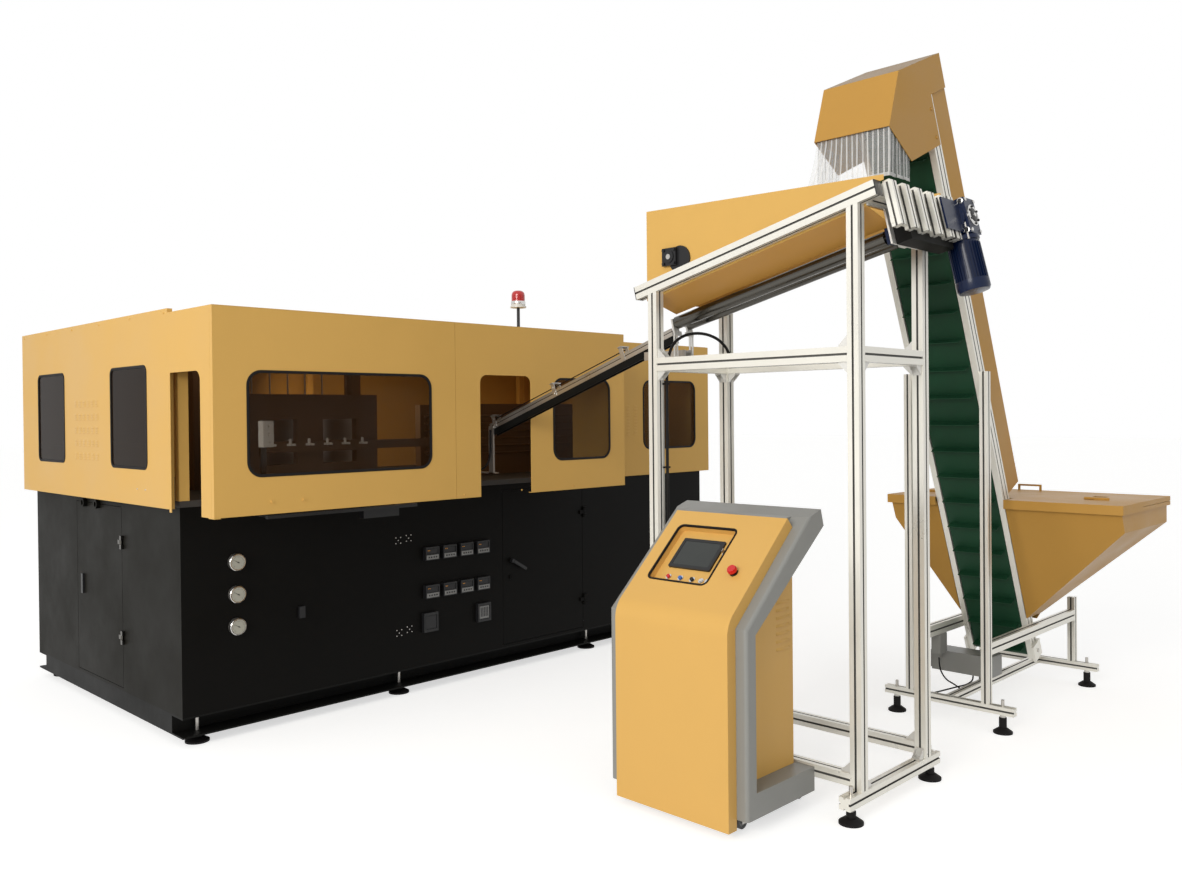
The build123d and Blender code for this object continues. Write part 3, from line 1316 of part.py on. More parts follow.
rim_z = hopper_rim_top
deck_low = rim_z + 2.0
deck_high = deck_low + lid_height
lid_pin_z = deck_high + 6.5


def slide_x(z):
    """Where the conveyor's mounting face stands at height z."""
    return lift_x + (lift_z - z) * cos_lift / sin_lift


def hopper_shell(inset, mode):
    """The band and the tapering walls as one solid, inset from the outer faces."""
    rects = [
        (hopper_rim_top, slide_x(hopper_rim_top), hopper_back, hopper_near, hopper_far),
        (hopper_band_bottom, slide_x(hopper_band_bottom), hopper_back, hopper_near, hopper_far),
        (hopper_bottom, slide_x(hopper_bottom), hopper_bottom_back, lift_y - lift_half - 3.0,
         lift_y + lift_half + 3.0),
    ]
    for upper, lower in zip(rects[:-1], rects[1:]):
        sections = []
        for z, x0, x1, y0, y1 in (upper, lower):
            lift = 1.0 if inset and z == hopper_rim_top else 0.0
            drop = 1.0 if inset and z == hopper_bottom else 0.0
            with BuildSketch(Plane.XY.offset(z + lift - drop)) as section:
                with Locations(((x0 + x1) / 2, (y0 + y1) / 2)):
                    Rectangle(x1 - x0 - 2 * inset, y1 - y0 - 2 * inset)
            sections.append(section.sketch)
        loft(sections, ruled=True, mode=mode)


rim_front = slide_x(hopper_rim_top) - 4.0
with BuildPart() as hopper:
    hopper_shell(0.0, Mode.ADD)
    rim_low = (rim_front - rim_lip, hopper_near - rim_lip, rim_z - rim_height + 4.0)
    block(rim_low, (hopper_back + rim_lip, hopper_far + rim_lip, rim_z))
    hopper_shell(sheet + 0.3, Mode.SUBTRACT)
    # Front deck around the conveyor
    block((rim_low[0], rim_low[1], rim_z - 1.0), (lid_hinge_x, hopper_far + rim_lip, deck_high))
    block((rim_low[0] + sheet, rim_low[1] + sheet, rim_z - 2.0),
          (lid_hinge_x - sheet, hopper_far + rim_lip - sheet, deck_high - sheet), mode=Mode.SUBTRACT)
    # Passage of the conveyor with its belt, rails and guards
    lift_block((lift_low - 60.0, 0.0), (-70.0, 122.0), (lift_y - lift_half - 3.5, lift_y + lift_half + 3.5),
               mode=Mode.SUBTRACT)
    lift_block((guard_low - 1.0, 0.0), (100.0, guard_reach + 4.0),
               (lift_y - lift_half - 3.5, lift_y + lift_half + 3.5), mode=Mode.SUBTRACT)
    # Sloping plate that leads onto the belt
    lift_block((-1413.0, -1409.0), (123.0, 176.0),
               (lift_y - lift_half - 3.0, lift_y + lift_half + 3.0))
    # Brackets that clamp the walls to the rails
    for side in (-1, 1):
        for u in (-1180.0, -760.0):
            near = lift_y + side * (lift_half + joint_gap)
            far = lift_y + side * (lift_half + 34.0)
            lift_block((u, u + 40.0), (4.0, 30.0), sorted((near, far)))
    for y in (lift_y - 600.0, lift_y + 320.0):
        rod((lid_hinge_x - 1.0, y, lid_pin_z), (lid_hinge_x - 1.0, y + 70.0, lid_pin_z), 6)
        block((lid_hinge_x - 6.0, y, deck_high - 1.0), (lid_hinge_x - 1.0, y + 70.0, deck_high + 4.0))
        rod((lid_hinge_x - 1.0, y, lid_pin_z), (lid_hinge_x - 1.0, y + 120.0, lid_pin_z), 3)
finish(hopper, "hopper")

lid_left = lid_hinge_x + 1.0
lid_right = hopper_back + rim_lip
handle_foot = deck_high + joint_gap
with BuildPart() as hopper_lid:
    block((lid_left, rim_low[1], deck_low), (lid_right, hopper_far + rim_lip, deck_high))
    block((lid_left + sheet, rim_low[1] + sheet, deck_low - 1.0),
          (lid_right - sheet, hopper_far + rim_lip - sheet, deck_high - sheet), mode=Mode.SUBTRACT)
    block((3500.0, -3060.0, deck_high - 10.0), (3550.0, -2990.0, deck_high + 1.0), mode=Mode.SUBTRACT)
    # Hinge leaves with their knuckles
    for y in (lift_y - 600.0, lift_y + 320.0):
        rod((lid_hinge_x - 1.0, y + 70.0 + run_gap, lid_pin_z),
            (lid_hinge_x - 1.0, y + 120.0, lid_pin_z), 6)
        block((lid_hinge_x - 1.0, y + 70.0 + run_gap, deck_high + joint_gap),
              (lid_hinge_x + 30.0, y + 120.0, deck_high + 2.0))
        block((lid_left, y + 70.0 + run_gap, deck_high - 0.5),
              (lid_hinge_x + 30.0, y + 120.0, deck_high + 1.0))
        rod((lid_hinge_x - 1.0, y + 60.0, lid_pin_z), (lid_hinge_x - 1.0, y + 125.0, lid_pin_z),
            3 + pin_gap, mode=Mode.SUBTRACT)
    # Bow handle near the back edge
    with BuildSketch(Plane.YZ.offset(3760.0)):
        with BuildLine():
            FilletPolyline((-2630, handle_foot), (-2630, deck_high + 34), (-2500, deck_high + 34),
                           (-2500, handle_foot), (-2510, handle_foot), (-2510, deck_high + 24),
                           (-2620, deck_high + 24), (-2620, handle_foot), close=True, radius=1)
        make_face()
    extrude(amount=12)
finish(hopper_lid, "hopper_lid")


# Operator console: front tray with its recess, grey cheeks, cabinet, controls and casters

face_turn = math.atan2(bend_top_z - bend_z, bend_dx)
cos_face = math.cos(face_turn)
sin_face = math.sin(face_turn)
tray_near = console_near + 51.0
tray_far = console_far - 77.0
bend_radius = 110.0


def on_face(t, y, n=0.0):
    """A point t mm up the sloping face, at y, n mm out of the face."""
    return (console_front_x + t * cos_face - n * sin_face, y, bend_z + t * sin_face + n * cos_face)


def face_plane(n=0.0):
    """Plane of the sloping face: x up the face, y along Y, z out of it."""
    return Plane(origin=on_face(0, 0, n), x_dir=(cos_face, 0, sin_face),
                 z_dir=(-sin_face, 0, cos_face))


def face_rod(t, y, n0, n1, radius, mode=Mode.ADD):
    rod(on_face(t, y, n0), on_face(t, y, n1), radius, mode=mode)


recess_depth = 32.0
recess = (165.0, 455.0, -2402.0, -2106.0)
recess_middle = ((recess[0] + recess[1]) / 2, -(recess[2] + recess[3]) / 2)
button_t = 203.0
button_y = (-2178.0, -2240.0, -2300.0)
lamp_y = (-2345.0, -2376.0)
button_radius = 8.0
key_spot = (350.0, -2382.0)
stop_spot = (240.0, -2501.0)
face_length = math.hypot(bend_dx, bend_top_z - bend_z)
# Inner corner of the bend, where the back of the slope meets the back of the upright
tray_corner = (console_front_x + tray_depth,
               bend_z + tray_depth * (sin_face - 1.0) / cos_face)
tray_profile = [
    (console_front_x, console_bottom),
    (console_front_x, bend_z),
    on_face(face_length, 0)[::2],
    on_face(face_length, 0, -tray_depth)[::2],
    tray_corner,
    (console_front_x + tray_depth, console_bottom),
]

with BuildPart() as console_front:
    for inset, mode in ((0.0, Mode.ADD), (sheet, Mode.SUBTRACT)):
        with BuildSketch(Plane.XZ.offset(-(tray_far - inset))) as outline:
            with BuildLine():
                Polyline(*tray_profile, close=True)
            make_face()
            fillet(outline.vertices().sort_by(Axis.X)[0:2].sort_by(Axis.Y)[1:2], bend_radius)
            if inset:
                offset(amount=-inset, mode=Mode.REPLACE)
                with BuildLine():
                    Polyline(
                        (console_front_x + tray_depth - 20.0, console_bottom + sheet),
                        (console_front_x + tray_depth + 20.0, console_bottom + sheet),
                        (console_front_x + tray_depth + 20.0, tray_corner[1]),
                        on_face(face_length - sheet, 0, -tray_depth - 20.0)[::2],
                        on_face(face_length - sheet, 0, -tray_depth + 20.0)[::2],
                        (console_front_x + tray_depth - 20.0, tray_corner[1]),
                        close=True,
                    )
                make_face()
        extrude(outline.sketch, amount=(tray_far - tray_near - 2 * inset), mode=mode)
    # Recessed window with its floor and walls
    for n0, n1, grow, mode in ((-recess_depth - sheet, 0.0, 3.0, Mode.ADD),
                               (-recess_depth, 1.0, 0.0, Mode.SUBTRACT)):
        with BuildSketch(face_plane(n0)) as outline:
            with Locations((recess_middle[0], -recess_middle[1])):
                RectangleRounded(recess[1] - recess[0] + 2 * grow, recess[3] - recess[2] + 2 * grow,
                                 22.0 + grow)
        extrude(outline.sketch, amount=n1 - n0, mode=mode)
    # Bezels of the buttons, the two lamps, the key switch and the stop button
    for y in button_y:
        face_rod(button_t, y, -recess_depth, -recess_depth + 4.0, 13.0)
    for y in lamp_y:
        face_rod(button_t, y, -recess_depth, -recess_depth + 4.0, 12.0)
        face_rod(button_t, y, -recess_depth, -recess_depth + 8.0, 8.0)
    face_rod(*key_spot, -recess_depth, -recess_depth + 5.0, 12.0)
    face_rod(*stop_spot, 0.0, 6.0, 18.0)
    for t, y in [(button_t, y) for y in button_y] + [key_spot, stop_spot]:
        face_rod(t, y, -recess_depth - 20.0, 10.0, button_radius + pin_gap, mode=Mode.SUBTRACT)
    face_rod(*stop_spot, -recess_depth - 20.0, 10.0, button_radius + pin_gap, mode=Mode.SUBTRACT)
finish(console_front, "console_front")

with BuildPart() as touch_screen:
    with BuildSketch(face_plane(-recess_depth)) as outline:
        with Locations((330.0, -2253.0)):
            RectangleRounded(156.0, 214.0, 6.0)
    extrude(outline.sketch, amount=9.0)
    with BuildSketch(face_plane(-recess_depth + 8.0)) as outline:
        with Locations((330.0, -2253.0)):
            RectangleRounded(128.0, 186.0, 2.0)
    extrude(outline.sketch, amount=2.0, mode=Mode.SUBTRACT)
finish(touch_screen, "touch_screen")

for colour, y in zip(("red", "blue", "black"), button_y):
    with BuildPart() as push_button:
        face_rod(button_t, y, -recess_depth - 14.0, -recess_depth + 11.0, button_radius)
        fillet(push_button.faces().sort_by(Axis((0, 0, 0), (-sin_face, 0, cos_face)))[-1].edges(), 1.5)
    finish(push_button, f"push_button_{colour}")

with BuildPart() as emergency_stop:
    face_rod(*stop_spot, -22.0, 16.0, button_radius)
    face_rod(*stop_spot, 14.0, 22.0, 20.0)
    face_rod(*stop_spot, 22.0, 28.0, 17.0)
finish(emergency_stop, "emergency_stop")

with BuildPart() as key_switch:
    face_rod(*key_spot, -recess_depth - 14.0, -recess_depth + 7.0, button_radius)
    with BuildSketch(face_plane(-recess_depth + 6.0)) as outline:
        with Locations(key_spot):
            Rectangle(15.0, 2.6)
    extrude(outline.sketch, amount=22.0)
finish(key_switch, "key_switch")

base_plate_z = 70.0
cheek_depth = 56.0
foot_top = 166.0
skirt_back = 1330.0
cheek_profile = [
    (console_front_x + tray_depth + joint_gap, base_plate_z),
    (console_front_x + tray_depth + joint_gap, tray_corner[1] - joint_gap),
    on_face(face_length + 56.0, 0, -tray_depth - joint_gap)[::2],
    (1392.0, 1190.0),
    (1412.0, 1122.0),
    (console_front_x + tray_depth + cheek_depth,
     bend_z + (tray_depth + cheek_depth) * (sin_face - 1.0) / cos_face),
    (console_front_x + tray_depth + cheek_depth, foot_top),
    (skirt_back, foot_top),
    (skirt_back, base_plate_z),
]
cabinet_wall = 88.0
skirt_front = 1045.0
with BuildPart() as console_cheeks:
    for outer, side in ((console_near, 1), (console_far, -1)):
        with BuildSketch(Plane.XZ.offset(-outer)):
            with BuildLine():
                Polyline(*cheek_profile, close=True)
            make_face()
        extrude(amount=-side * cheek_thickness)
    front_line = [Vector(x, 0, z) for x, z in cheek_profile[0:3]]
    edges = [
        edge for edge in console_cheeks.edges()
        if min(abs(edge.center().Y - console_near), abs(edge.center().Y - console_far)) < 0.1
        and any(((a + b) * 0.5 - Vector(edge.center().X, 0, edge.center().Z)).length < 1.0
                for a, b in zip(front_line[:-1], front_line[1:]))
    ]
    fillet(edges, 14.0)
    # Cap across the top and the base plate with its skirt
    cap_y = (console_near + cheek_thickness - 1.0, console_far - cheek_thickness + 1.0)
    with BuildSketch(Plane.XZ.offset(-cap_y[0])):
        with BuildLine():
            Polyline(
                on_face(face_length + joint_gap, 0, -8.0)[::2],
                cheek_profile[2],
                cheek_profile[3],
                cheek_profile[4],
                (1352.0, 1064.0),
                on_face(face_length + joint_gap, 0, -tray_depth - 12.0)[::2],
                close=True,
            )
        make_face()
    extrude(amount=-(cap_y[1] - cap_y[0]))
    block((console_front_x + tray_depth + joint_gap, cap_y[0], base_plate_z),
          (skirt_back, cap_y[1], base_plate_z + 8.0))
    block((skirt_front, console_near + cabinet_wall - 16.0, 22.0),
          (skirt_back, console_far - cabinet_wall + 16.0, 125.0))
    block((skirt_front + 4.0, console_near + cabinet_wall - 12.0, 20.0),
          (skirt_back - 4.0, console_far - cabinet_wall + 12.0, base_plate_z), mode=Mode.SUBTRACT)
    block((skirt_front + 4.0, console_near + cabinet_wall + 8.0, base_plate_z + 8.0),
          (skirt_back - 4.0, console_far - cabinet_wall - 8.0, 130.0), mode=Mode.SUBTRACT)
    # King pin holes of the front casters and the fixed forks of the rear wheels
    caster_x = 985.0
    caster_y = (console_near + 98.0, console_far - 98.0)
    rear_wheel_x = 1372.0
    rear_y = (console_near + 108.0, console_far - 108.0)
    for y in caster_y:
        rod((caster_x, y, base_plate_z - 1), (caster_x, y, base_plate_z + 9), 6 + pin_gap,
            mode=Mode.SUBTRACT)
    for y in rear_y:
        for side in (-1, 1):
            leg = sorted((y + side * 13.0, y + side * 16.0))
            block((skirt_back - 1.0, leg[0], wheel_radius - 12.0),
                  (rear_wheel_x + 12.0, leg[1], wheel_radius + 40.0))
        block((skirt_back - 1.0, y - 16.0, 66.0), (rear_wheel_x + 12.0, y + 16.0, 70.0))
        rod((rear_wheel_x, y - 18.0, wheel_radius), (rear_wheel_x, y + 18.0, wheel_radius), 4)
finish(console_cheeks, "console_cheeks")

cabinet_profile = [
    (console_front_x + tray_depth + 2.0, 125.0 + joint_gap),
    (console_front_x + tray_depth + 2.0, tray_corner[1] - 6.0),
    on_face(face_length - 30.0, 0, -tray_depth - 8.0)[::2],
    (cabinet_back_x, 1015.0),
    (cabinet_back_x, 125.0 + joint_gap),
]
cabinet_y = (console_near + cheek_thickness + joint_gap, console_far - cheek_thickness - joint_gap)
with BuildPart() as console_cabinet:
    for inset, mode in ((0.0, Mode.ADD), (sheet, Mode.SUBTRACT)):
        with BuildSketch(Plane.XZ.offset(-(cabinet_y[0] + inset))) as outline:
            with BuildLine():
                Polyline(*cabinet_profile, close=True)
            make_face()
            if inset:
                offset(amount=-inset, kind=Kind.INTERSECTION, mode=Mode.REPLACE)
        extrude(outline.sketch, amount=-(cabinet_y[1] - cabinet_y[0] - 2 * inset), mode=mode)
    # Opening behind the front tray for the recess and its wiring
    with BuildSketch(face_plane(-tray_depth - 30.0)) as outline:
        with Locations((270.0, (cabinet_y[0] + cabinet_y[1]) / 2)):
            Rectangle(400.0, 420.0)
    extrude(outline.sketch, amount=28.0, mode=Mode.SUBTRACT)
    # Louvres in both sides
    for i in range(7):
        z = 640.0 + i * 31.0
        for y in cabinet_y:
            with BuildSketch(Plane.XZ.offset(-y - 10.0)) as outline:
                with Locations((1240.0, z)):
                    Rectangle(90.0, 6.0)
            extrude(outline.sketch, amount=20.0, mode=Mode.SUBTRACT)
finish(console_cabinet, "console_cabinet")

trail = 18.0
for place, y in zip(("near", "far"), caster_y):
    wheel_x = caster_x - trail
    with BuildPart() as caster_fork:
        rod((caster_x, y, base_plate_z - 4.0), (caster_x, y, base_plate_z + 8.0), 6)
        rod((caster_x, y, base_plate_z - 4.0), (caster_x, y, base_plate_z - joint_gap), 15)
        block((wheel_x - 14.0, y - 16.0, base_plate_z - 6.5),
              (caster_x + 16.0, y + 16.0, base_plate_z - 3.5))
        for side in (-1, 1):
            leg = sorted((y + side * 13.0, y + side * 16.0))
            block((wheel_x - 10.0, leg[0], wheel_radius - 10.0),
                  (wheel_x + 14.0, leg[1], base_plate_z - 4.0))
        rod((wheel_x, y - 18.0, wheel_radius), (wheel_x, y + 18.0, wheel_radius), 4)
    finish(caster_fork, f"caster_fork_{place}")


def wheel(x, y):
    rod((x, y - 11.0, wheel_radius), (x, y + 11.0, wheel_radius), wheel_radius)
    for side in (-1, 1):
        with BuildSketch(Plane.XZ.offset(-(y + side * 8.0))) as outline:
            with Locations((x, wheel_radius)):
                Circle(22.0)
                Circle(9.0, mode=Mode.SUBTRACT)
        extrude(outline.sketch, amount=-side * 5.0, mode=Mode.SUBTRACT)
    rod((x, y - 12.6, wheel_radius), (x, y + 12.6, wheel_radius), 8)
    rod((x, y - 14.0, wheel_radius), (x, y + 14.0, wheel_radius), 4 + pin_gap, mode=Mode.SUBTRACT)


wheel_spots = {
    "front_near": (caster_x - trail, caster_y[0]),
    "front_far": (caster_x - trail, caster_y[1]),
    "rear_near": (rear_wheel_x, rear_y[0]),
    "rear_far": (rear_wheel_x, rear_y[1]),
}
for place, spot in wheel_spots.items():
    with BuildPart() as caster_wheel:
        wheel(*spot)
    finish(caster_wheel, f"wheel_{place}")


# Cables that the line holds all the way: the bundle on the stand, the lead of the chute's
# sensor, and the two leads low on the elevator


def cable(points, radius):
    """A round cable through the points, its corners rounded as far as the runs allow."""
    route = [Vector(*point) for point in points]
    radii = []
    for before, here, after in zip(route[:-2], route[1:-1], route[2:]):
        turn = math.radians((here - before).get_angle(after - here))
        shorter = min((here - before).length, (after - here).length)
        radii.append(0.45 * shorter / math.tan(turn / 2))
    print("cable radii", [round(value) for value in radii])
    with BuildLine() as line:
        FilletPolyline(*points, radius=radii)
    start = line.line @ 0
    with BuildSketch(Plane(origin=start, z_dir=line.line % 0)) as section:
        Circle(radius)
    sweep(section.sketch, path=line.line)
    length = sum(edge.length for edge in line.edges())
    print("cable section times length", round(math.pi * radius ** 2 * length))


bundle_radius = 7.0
bundle_x = stand_left + post + bundle_radius + joint_gap
bundle_y = stand_far - post - 10.0
lead_radius = 4.0
chute_lead_x = chute_x - chute_half - 10.0 - joint_gap - 5.0
with BuildPart() as machine_cables:
    cable([
        (1859.0, bundle_y - 10.0, 1850.0),
        (1830.0, bundle_y - 10.0, 1898.0),
        (1765.0, bundle_y - 10.0, 1938.0),
        (1680.0, bundle_y - 10.0, 1958.0),
        (1590.0, bundle_y - 10.0, 1960.0),
        (1500.0, bundle_y - 10.0, 1944.0),
        (1425.0, bundle_y - 8.0, 1905.0),
        (bundle_x + 4.0, bundle_y - 4.0, 1835.0),
        (bundle_x, bundle_y, 1745.0),
        (bundle_x, bundle_y, 560.0),
    ], bundle_radius)
    for z in (1717.0, 1336.0, 960.0, 600.0):
        block((bundle_x - bundle_radius - 3.0, bundle_y - bundle_radius - 3.0, z - 4.0),
              (bundle_x + bundle_radius + 3.0, stand_far - post - joint_gap, z + 4.0))
        block((stand_left + post - 12.0, bundle_y - 2.0, z - 4.0),
              (bundle_x, stand_far - post - joint_gap, z + 4.0))
    cable([
        (chute_lead_x, chute_low_y - 20.0, 1498.0),
        (chute_lead_x, chute_low_y - 20.0, 1360.0),
        (chute_lead_x, chute_low_y + 10.0, 1290.0),
        (chute_lead_x + 6.0, chute_low_y + 80.0, 1262.0),
        (chute_lead_x + 10.0, base_front - 1.0, 1258.0),
    ], 5.0)
    cable([
        (sensor_x - 3.0, post_y[1], sensor_bottom - 22.6),
        (sensor_x - 4.0, post_y[1] - 2.0, 205.0),
        (sensor_x - 20.0, post_y[1] - 16.0, 172.0),
        (sensor_x - 50.0, post_y[1] - 48.0, 150.0),
        (sensor_x - 88.0, post_y[1] - 88.0, 141.0),
        (sensor_x - 125.0, post_y[1] - 140.0, 139.0),
        (sensor_x - 160.0, post_y[1] - 185.0, lift_bar_top + lead_radius + joint_gap),
    ], lead_radius)
    cable([
        (drive_left + 5.0, lift_y + 40.0, drive_bottom - 0.5),
        (drive_left + 2.0, lift_y + 42.0, 124.0),
        (drive_left - 24.0, lift_y + 62.0, 104.0),
        (drive_left - 84.0, lift_y + 96.0, 96.0),
        (drive_left - 170.0, lift_y + 122.0, 92.0),
        (drive_left - 255.0, lift_y + 130.0, 96.0),
        (drive_left - 317.0, lift_y + 128.0, 104.0),
        (lift_front_x + lift_foot_bar / 2 + joint_gap, lift_y + 126.0, 110.0),
    ], lead_radius)
finish(machine_cables, "machine_cables")
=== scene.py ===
import math

import bmesh
import bpy
from mathutils import Matrix, Vector


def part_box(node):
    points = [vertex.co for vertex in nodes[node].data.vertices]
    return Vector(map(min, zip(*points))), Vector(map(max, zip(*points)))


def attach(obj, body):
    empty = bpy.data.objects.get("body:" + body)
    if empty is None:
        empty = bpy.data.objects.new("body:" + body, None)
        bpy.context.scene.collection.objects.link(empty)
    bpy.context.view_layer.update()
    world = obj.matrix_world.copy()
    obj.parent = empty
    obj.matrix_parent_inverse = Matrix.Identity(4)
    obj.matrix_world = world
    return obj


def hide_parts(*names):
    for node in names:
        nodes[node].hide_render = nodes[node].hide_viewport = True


# A stretch blow moulding line: enclosed machine, preform chute, roller orienter on its stand,
# elevator with hopper, and the operator console. Sizes and places are in mm, in the frame of the
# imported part. Meshes, lamps and the camera are in metres.

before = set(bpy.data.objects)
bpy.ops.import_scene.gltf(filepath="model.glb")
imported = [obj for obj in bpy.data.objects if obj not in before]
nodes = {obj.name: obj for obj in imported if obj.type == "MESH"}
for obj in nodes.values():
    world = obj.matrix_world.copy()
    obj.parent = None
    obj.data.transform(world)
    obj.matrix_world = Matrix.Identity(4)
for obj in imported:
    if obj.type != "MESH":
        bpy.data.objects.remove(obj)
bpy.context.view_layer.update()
MM = 0.001
TO_MM = 1000


# Places that several pieces share

def lowest(node, axis):
    """The lowest place of a node along an axis, in mm."""
    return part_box(node)[0]["xyz".index(axis)] * TO_MM


END_WALL_X = lowest("end_enclosure", "x")
GUARD_Y = lowest("front_guard_box", "y")
REAR_Y = lowest("rear_enclosure", "y")
BASE_Y = lowest("machine_table", "y")
DOME_FOOT_Z = lowest("beacon_dome", "z")
BEACON_X, BEACON_Y = 2560, 500
ELEVATOR_Y = -2530

# The orienter slopes up from the foot of its rails; across is square to the slope
ORIENTER_X = 1620
RAIL_FOOT_Y, RAIL_FOOT_Z = -1717, 2108
SLOPE = math.radians(13.5)
UPHILL = (0.0, -math.cos(SLOPE), math.sin(SLOPE))
ACROSS = (0.0, math.sin(SLOPE), math.cos(SLOPE))
# Just inside the stand's posts and rails
INNER_LEFT_X, INNER_RIGHT_X = 1381, 1859

# The console's sloping face starts at the bend of its front
BEND_X, BEND_Z = 830, 802
FACE_RUN, FACE_RISE = 400, 360
FACE_TURN = math.atan2(FACE_RISE, FACE_RUN)
FACE_UP = (math.cos(FACE_TURN), 0.0, math.sin(FACE_TURN))
# Places of its controls, as (distance up the face, y)
STOP_SPOT = (240, -2501)
KEY_SPOT = (350, -2382)
BUTTON_ROW = 203
COLLAR_SPOTS = [(BUTTON_ROW, y) for y in (-2178, -2240, -2300, -2345, -2376)] + [KEY_SPOT]


def on_slope(x, up, out):
    """A point at x, a distance up the orienter's slope and a distance square out of it, in mm."""
    return (x, RAIL_FOOT_Y + up * UPHILL[1] + out * ACROSS[1],
            RAIL_FOOT_Z + up * UPHILL[2] + out * ACROSS[2])


def slope_place(point):
    """How far a point lies up the orienter's slope and square out of it, in mm."""
    y, z = point.y - RAIL_FOOT_Y, point.z - RAIL_FOOT_Z
    return y * UPHILL[1] + z * UPHILL[2], y * ACROSS[1] + z * ACROSS[2]


def face_place(point):
    """How far a point lies up the console's sloping face and out of it, in mm."""
    x, z = point.x - BEND_X, point.z - BEND_Z
    return x * FACE_UP[0] + z * FACE_UP[2], z * FACE_UP[0] - x * FACE_UP[2]


# Materials

def socket_values(shader, values):
    for name, value in values.items():
        shader.inputs[name].default_value = value


def material(name, color, rough=0.45, metal=0.0, mottle=0.06, patch=2.5, rough_spread=0.08,
             grain=500.0, bump=0.0, brush=(1.0, 1.0, 1.0), specular=0.5, coat=0.0, alpha=1.0):
    """A surface with slow colour and gloss variation and a fine bump; brush stretches the grain."""
    made = bpy.data.materials.new(name)
    made.use_nodes = True
    tree = made.node_tree
    shader = tree.nodes["Principled BSDF"]
    socket_values(shader, {"Metallic": metal, "Base Color": (*color, 1.0), "Roughness": rough,
                           "Specular IOR Level": specular, "Coat Weight": coat, "Alpha": alpha})
    coords = tree.nodes.new("ShaderNodeTexCoord")
    slow = tree.nodes.new("ShaderNodeTexNoise")
    socket_values(slow, {"Scale": patch, "Detail": 5.0, "Roughness": 0.6})
    tree.links.new(coords.outputs["Object"], slow.inputs["Vector"])
    tint = tree.nodes.new("ShaderNodeMix")
    tint.data_type = "RGBA"
    tint.inputs["A"].default_value = (*[c * (1 - mottle) for c in color], 1.0)
    tint.inputs["B"].default_value = (*[min(1.0, c * (1 + mottle)) for c in color], 1.0)
    tree.links.new(slow.outputs["Fac"], tint.inputs["Factor"])
    tree.links.new(tint.outputs["Result"], shader.inputs["Base Color"])
    gloss = tree.nodes.new("ShaderNodeMapRange")
    socket_values(gloss, {"From Min": 0.3, "From Max": 0.7, "To Min": max(0.02, rough - rough_spread),
                          "To Max": min(1.0, rough + rough_spread)})
    tree.links.new(slow.outputs["Fac"], gloss.inputs["Value"])
    tree.links.new(gloss.outputs["Result"], shader.inputs["Roughness"])
    if bump:
        mapping = tree.nodes.new("ShaderNodeMapping")
        mapping.inputs["Scale"].default_value = brush
        tree.links.new(coords.outputs["Object"], mapping.inputs["Vector"])
        fine = tree.nodes.new("ShaderNodeTexNoise")
        socket_values(fine, {"Scale": grain, "Detail": 2.0})
        tree.links.new(mapping.outputs["Vector"], fine.inputs["Vector"])
        relief = tree.nodes.new("ShaderNodeBump")
        socket_values(relief, {"Strength": bump, "Distance": 0.001})
        tree.links.new(fine.outputs["Fac"], relief.inputs["Height"])
        tree.links.new(relief.outputs["Normal"], shader.inputs["Normal"])
    return made


# Paints
tan_paint = material("tan paint", (0.65, 0.390, 0.105), 0.42, mottle=0.05, bump=0.12, grain=900.0,
                     specular=0.2)
lift_paint = material("deeper tan paint", (0.49, 0.265, 0.058), 0.42, mottle=0.06, bump=0.12,
                      grain=900.0, specular=0.18)
console_paint = material("console paint", (0.67, 0.395, 0.107), 0.36, mottle=0.03, bump=0.10,
                         grain=900.0, specular=0.28)
table_paint = material("table top", (0.05, 0.045, 0.04), 0.5, mottle=0.2, bump=0.2, grain=500.0,
                       specular=0.25)
grey_paint = material("grey paint", (0.25, 0.25, 0.235), 0.42, mottle=0.04, bump=0.12, grain=900.0)
dark_paint = material("dark paint", (0.0042, 0.0039, 0.0034), 0.42, mottle=0.25, bump=0.15,
                      grain=700.0, specular=0.06)
end_paint = material("end paint", (0.0105, 0.0098, 0.0078), 0.5, mottle=0.08, bump=0.15,
                     grain=700.0, specular=0.06)
black_paint = material("black paint", (0.005, 0.005, 0.0045), 0.5, mottle=0.3, bump=0.2,
                       grain=500.0, specular=0.1)
blue_paint = material("blue paint", (0.002, 0.009, 0.040), 0.24, mottle=0.15, bump=0.15, grain=600.0,
                      specular=0.3)
# Painted shade: the hood's sloping top, darker than its sides where less light falls on it
hood_top_shade = material("hood top painted shade", (0.27, 0.175, 0.08), 0.5, mottle=0.08, bump=0.12, grain=900.0)
# Painted shade: the trough's downward faces, a deeper orange than its tan sides
trough_underside_shade = material("trough underside painted shade", (0.66, 0.335, 0.070), 0.42, mottle=0.05, bump=0.12,
                        grain=900.0, specular=0.3)
brown_frame = material("inner frame", (0.13, 0.065, 0.025), 0.5, mottle=0.25, bump=0.15, grain=500.0)

# Metals
bright_cast = material("bright block", (0.85, 0.80, 0.70), 0.4, metal=0.2, mottle=0.05)
bar_metal = material("anodised bar", (0.80, 0.78, 0.71), 0.34, metal=0.45, mottle=0.04, bump=0.12,
                     grain=260.0)
# Painted shade: a dark finish for the insides of the bars' slots and grooves
slot_shade_metal = material("bar slots painted shade", (0.10, 0.097, 0.09), 0.6, metal=0.5, mottle=0.1)
cast_metal = material("cast brackets", (0.66, 0.65, 0.62), 0.5, metal=0.7, mottle=0.08, bump=0.35,
                      grain=420.0)
steel = material("machined steel", (0.50, 0.48, 0.45), 0.32, metal=0.9, mottle=0.08, bump=0.12,
                 grain=240.0)
dark_steel = material("ground dark steel", (0.095, 0.090, 0.080), 0.18, metal=1.0, mottle=0.08,
                      rough_spread=0.05, bump=0.08, grain=300.0)
bright_steel = material("polished steel", (0.62, 0.61, 0.59), 0.17, metal=1.0, mottle=0.04,
                        rough_spread=0.05, bump=0.05, grain=300.0)
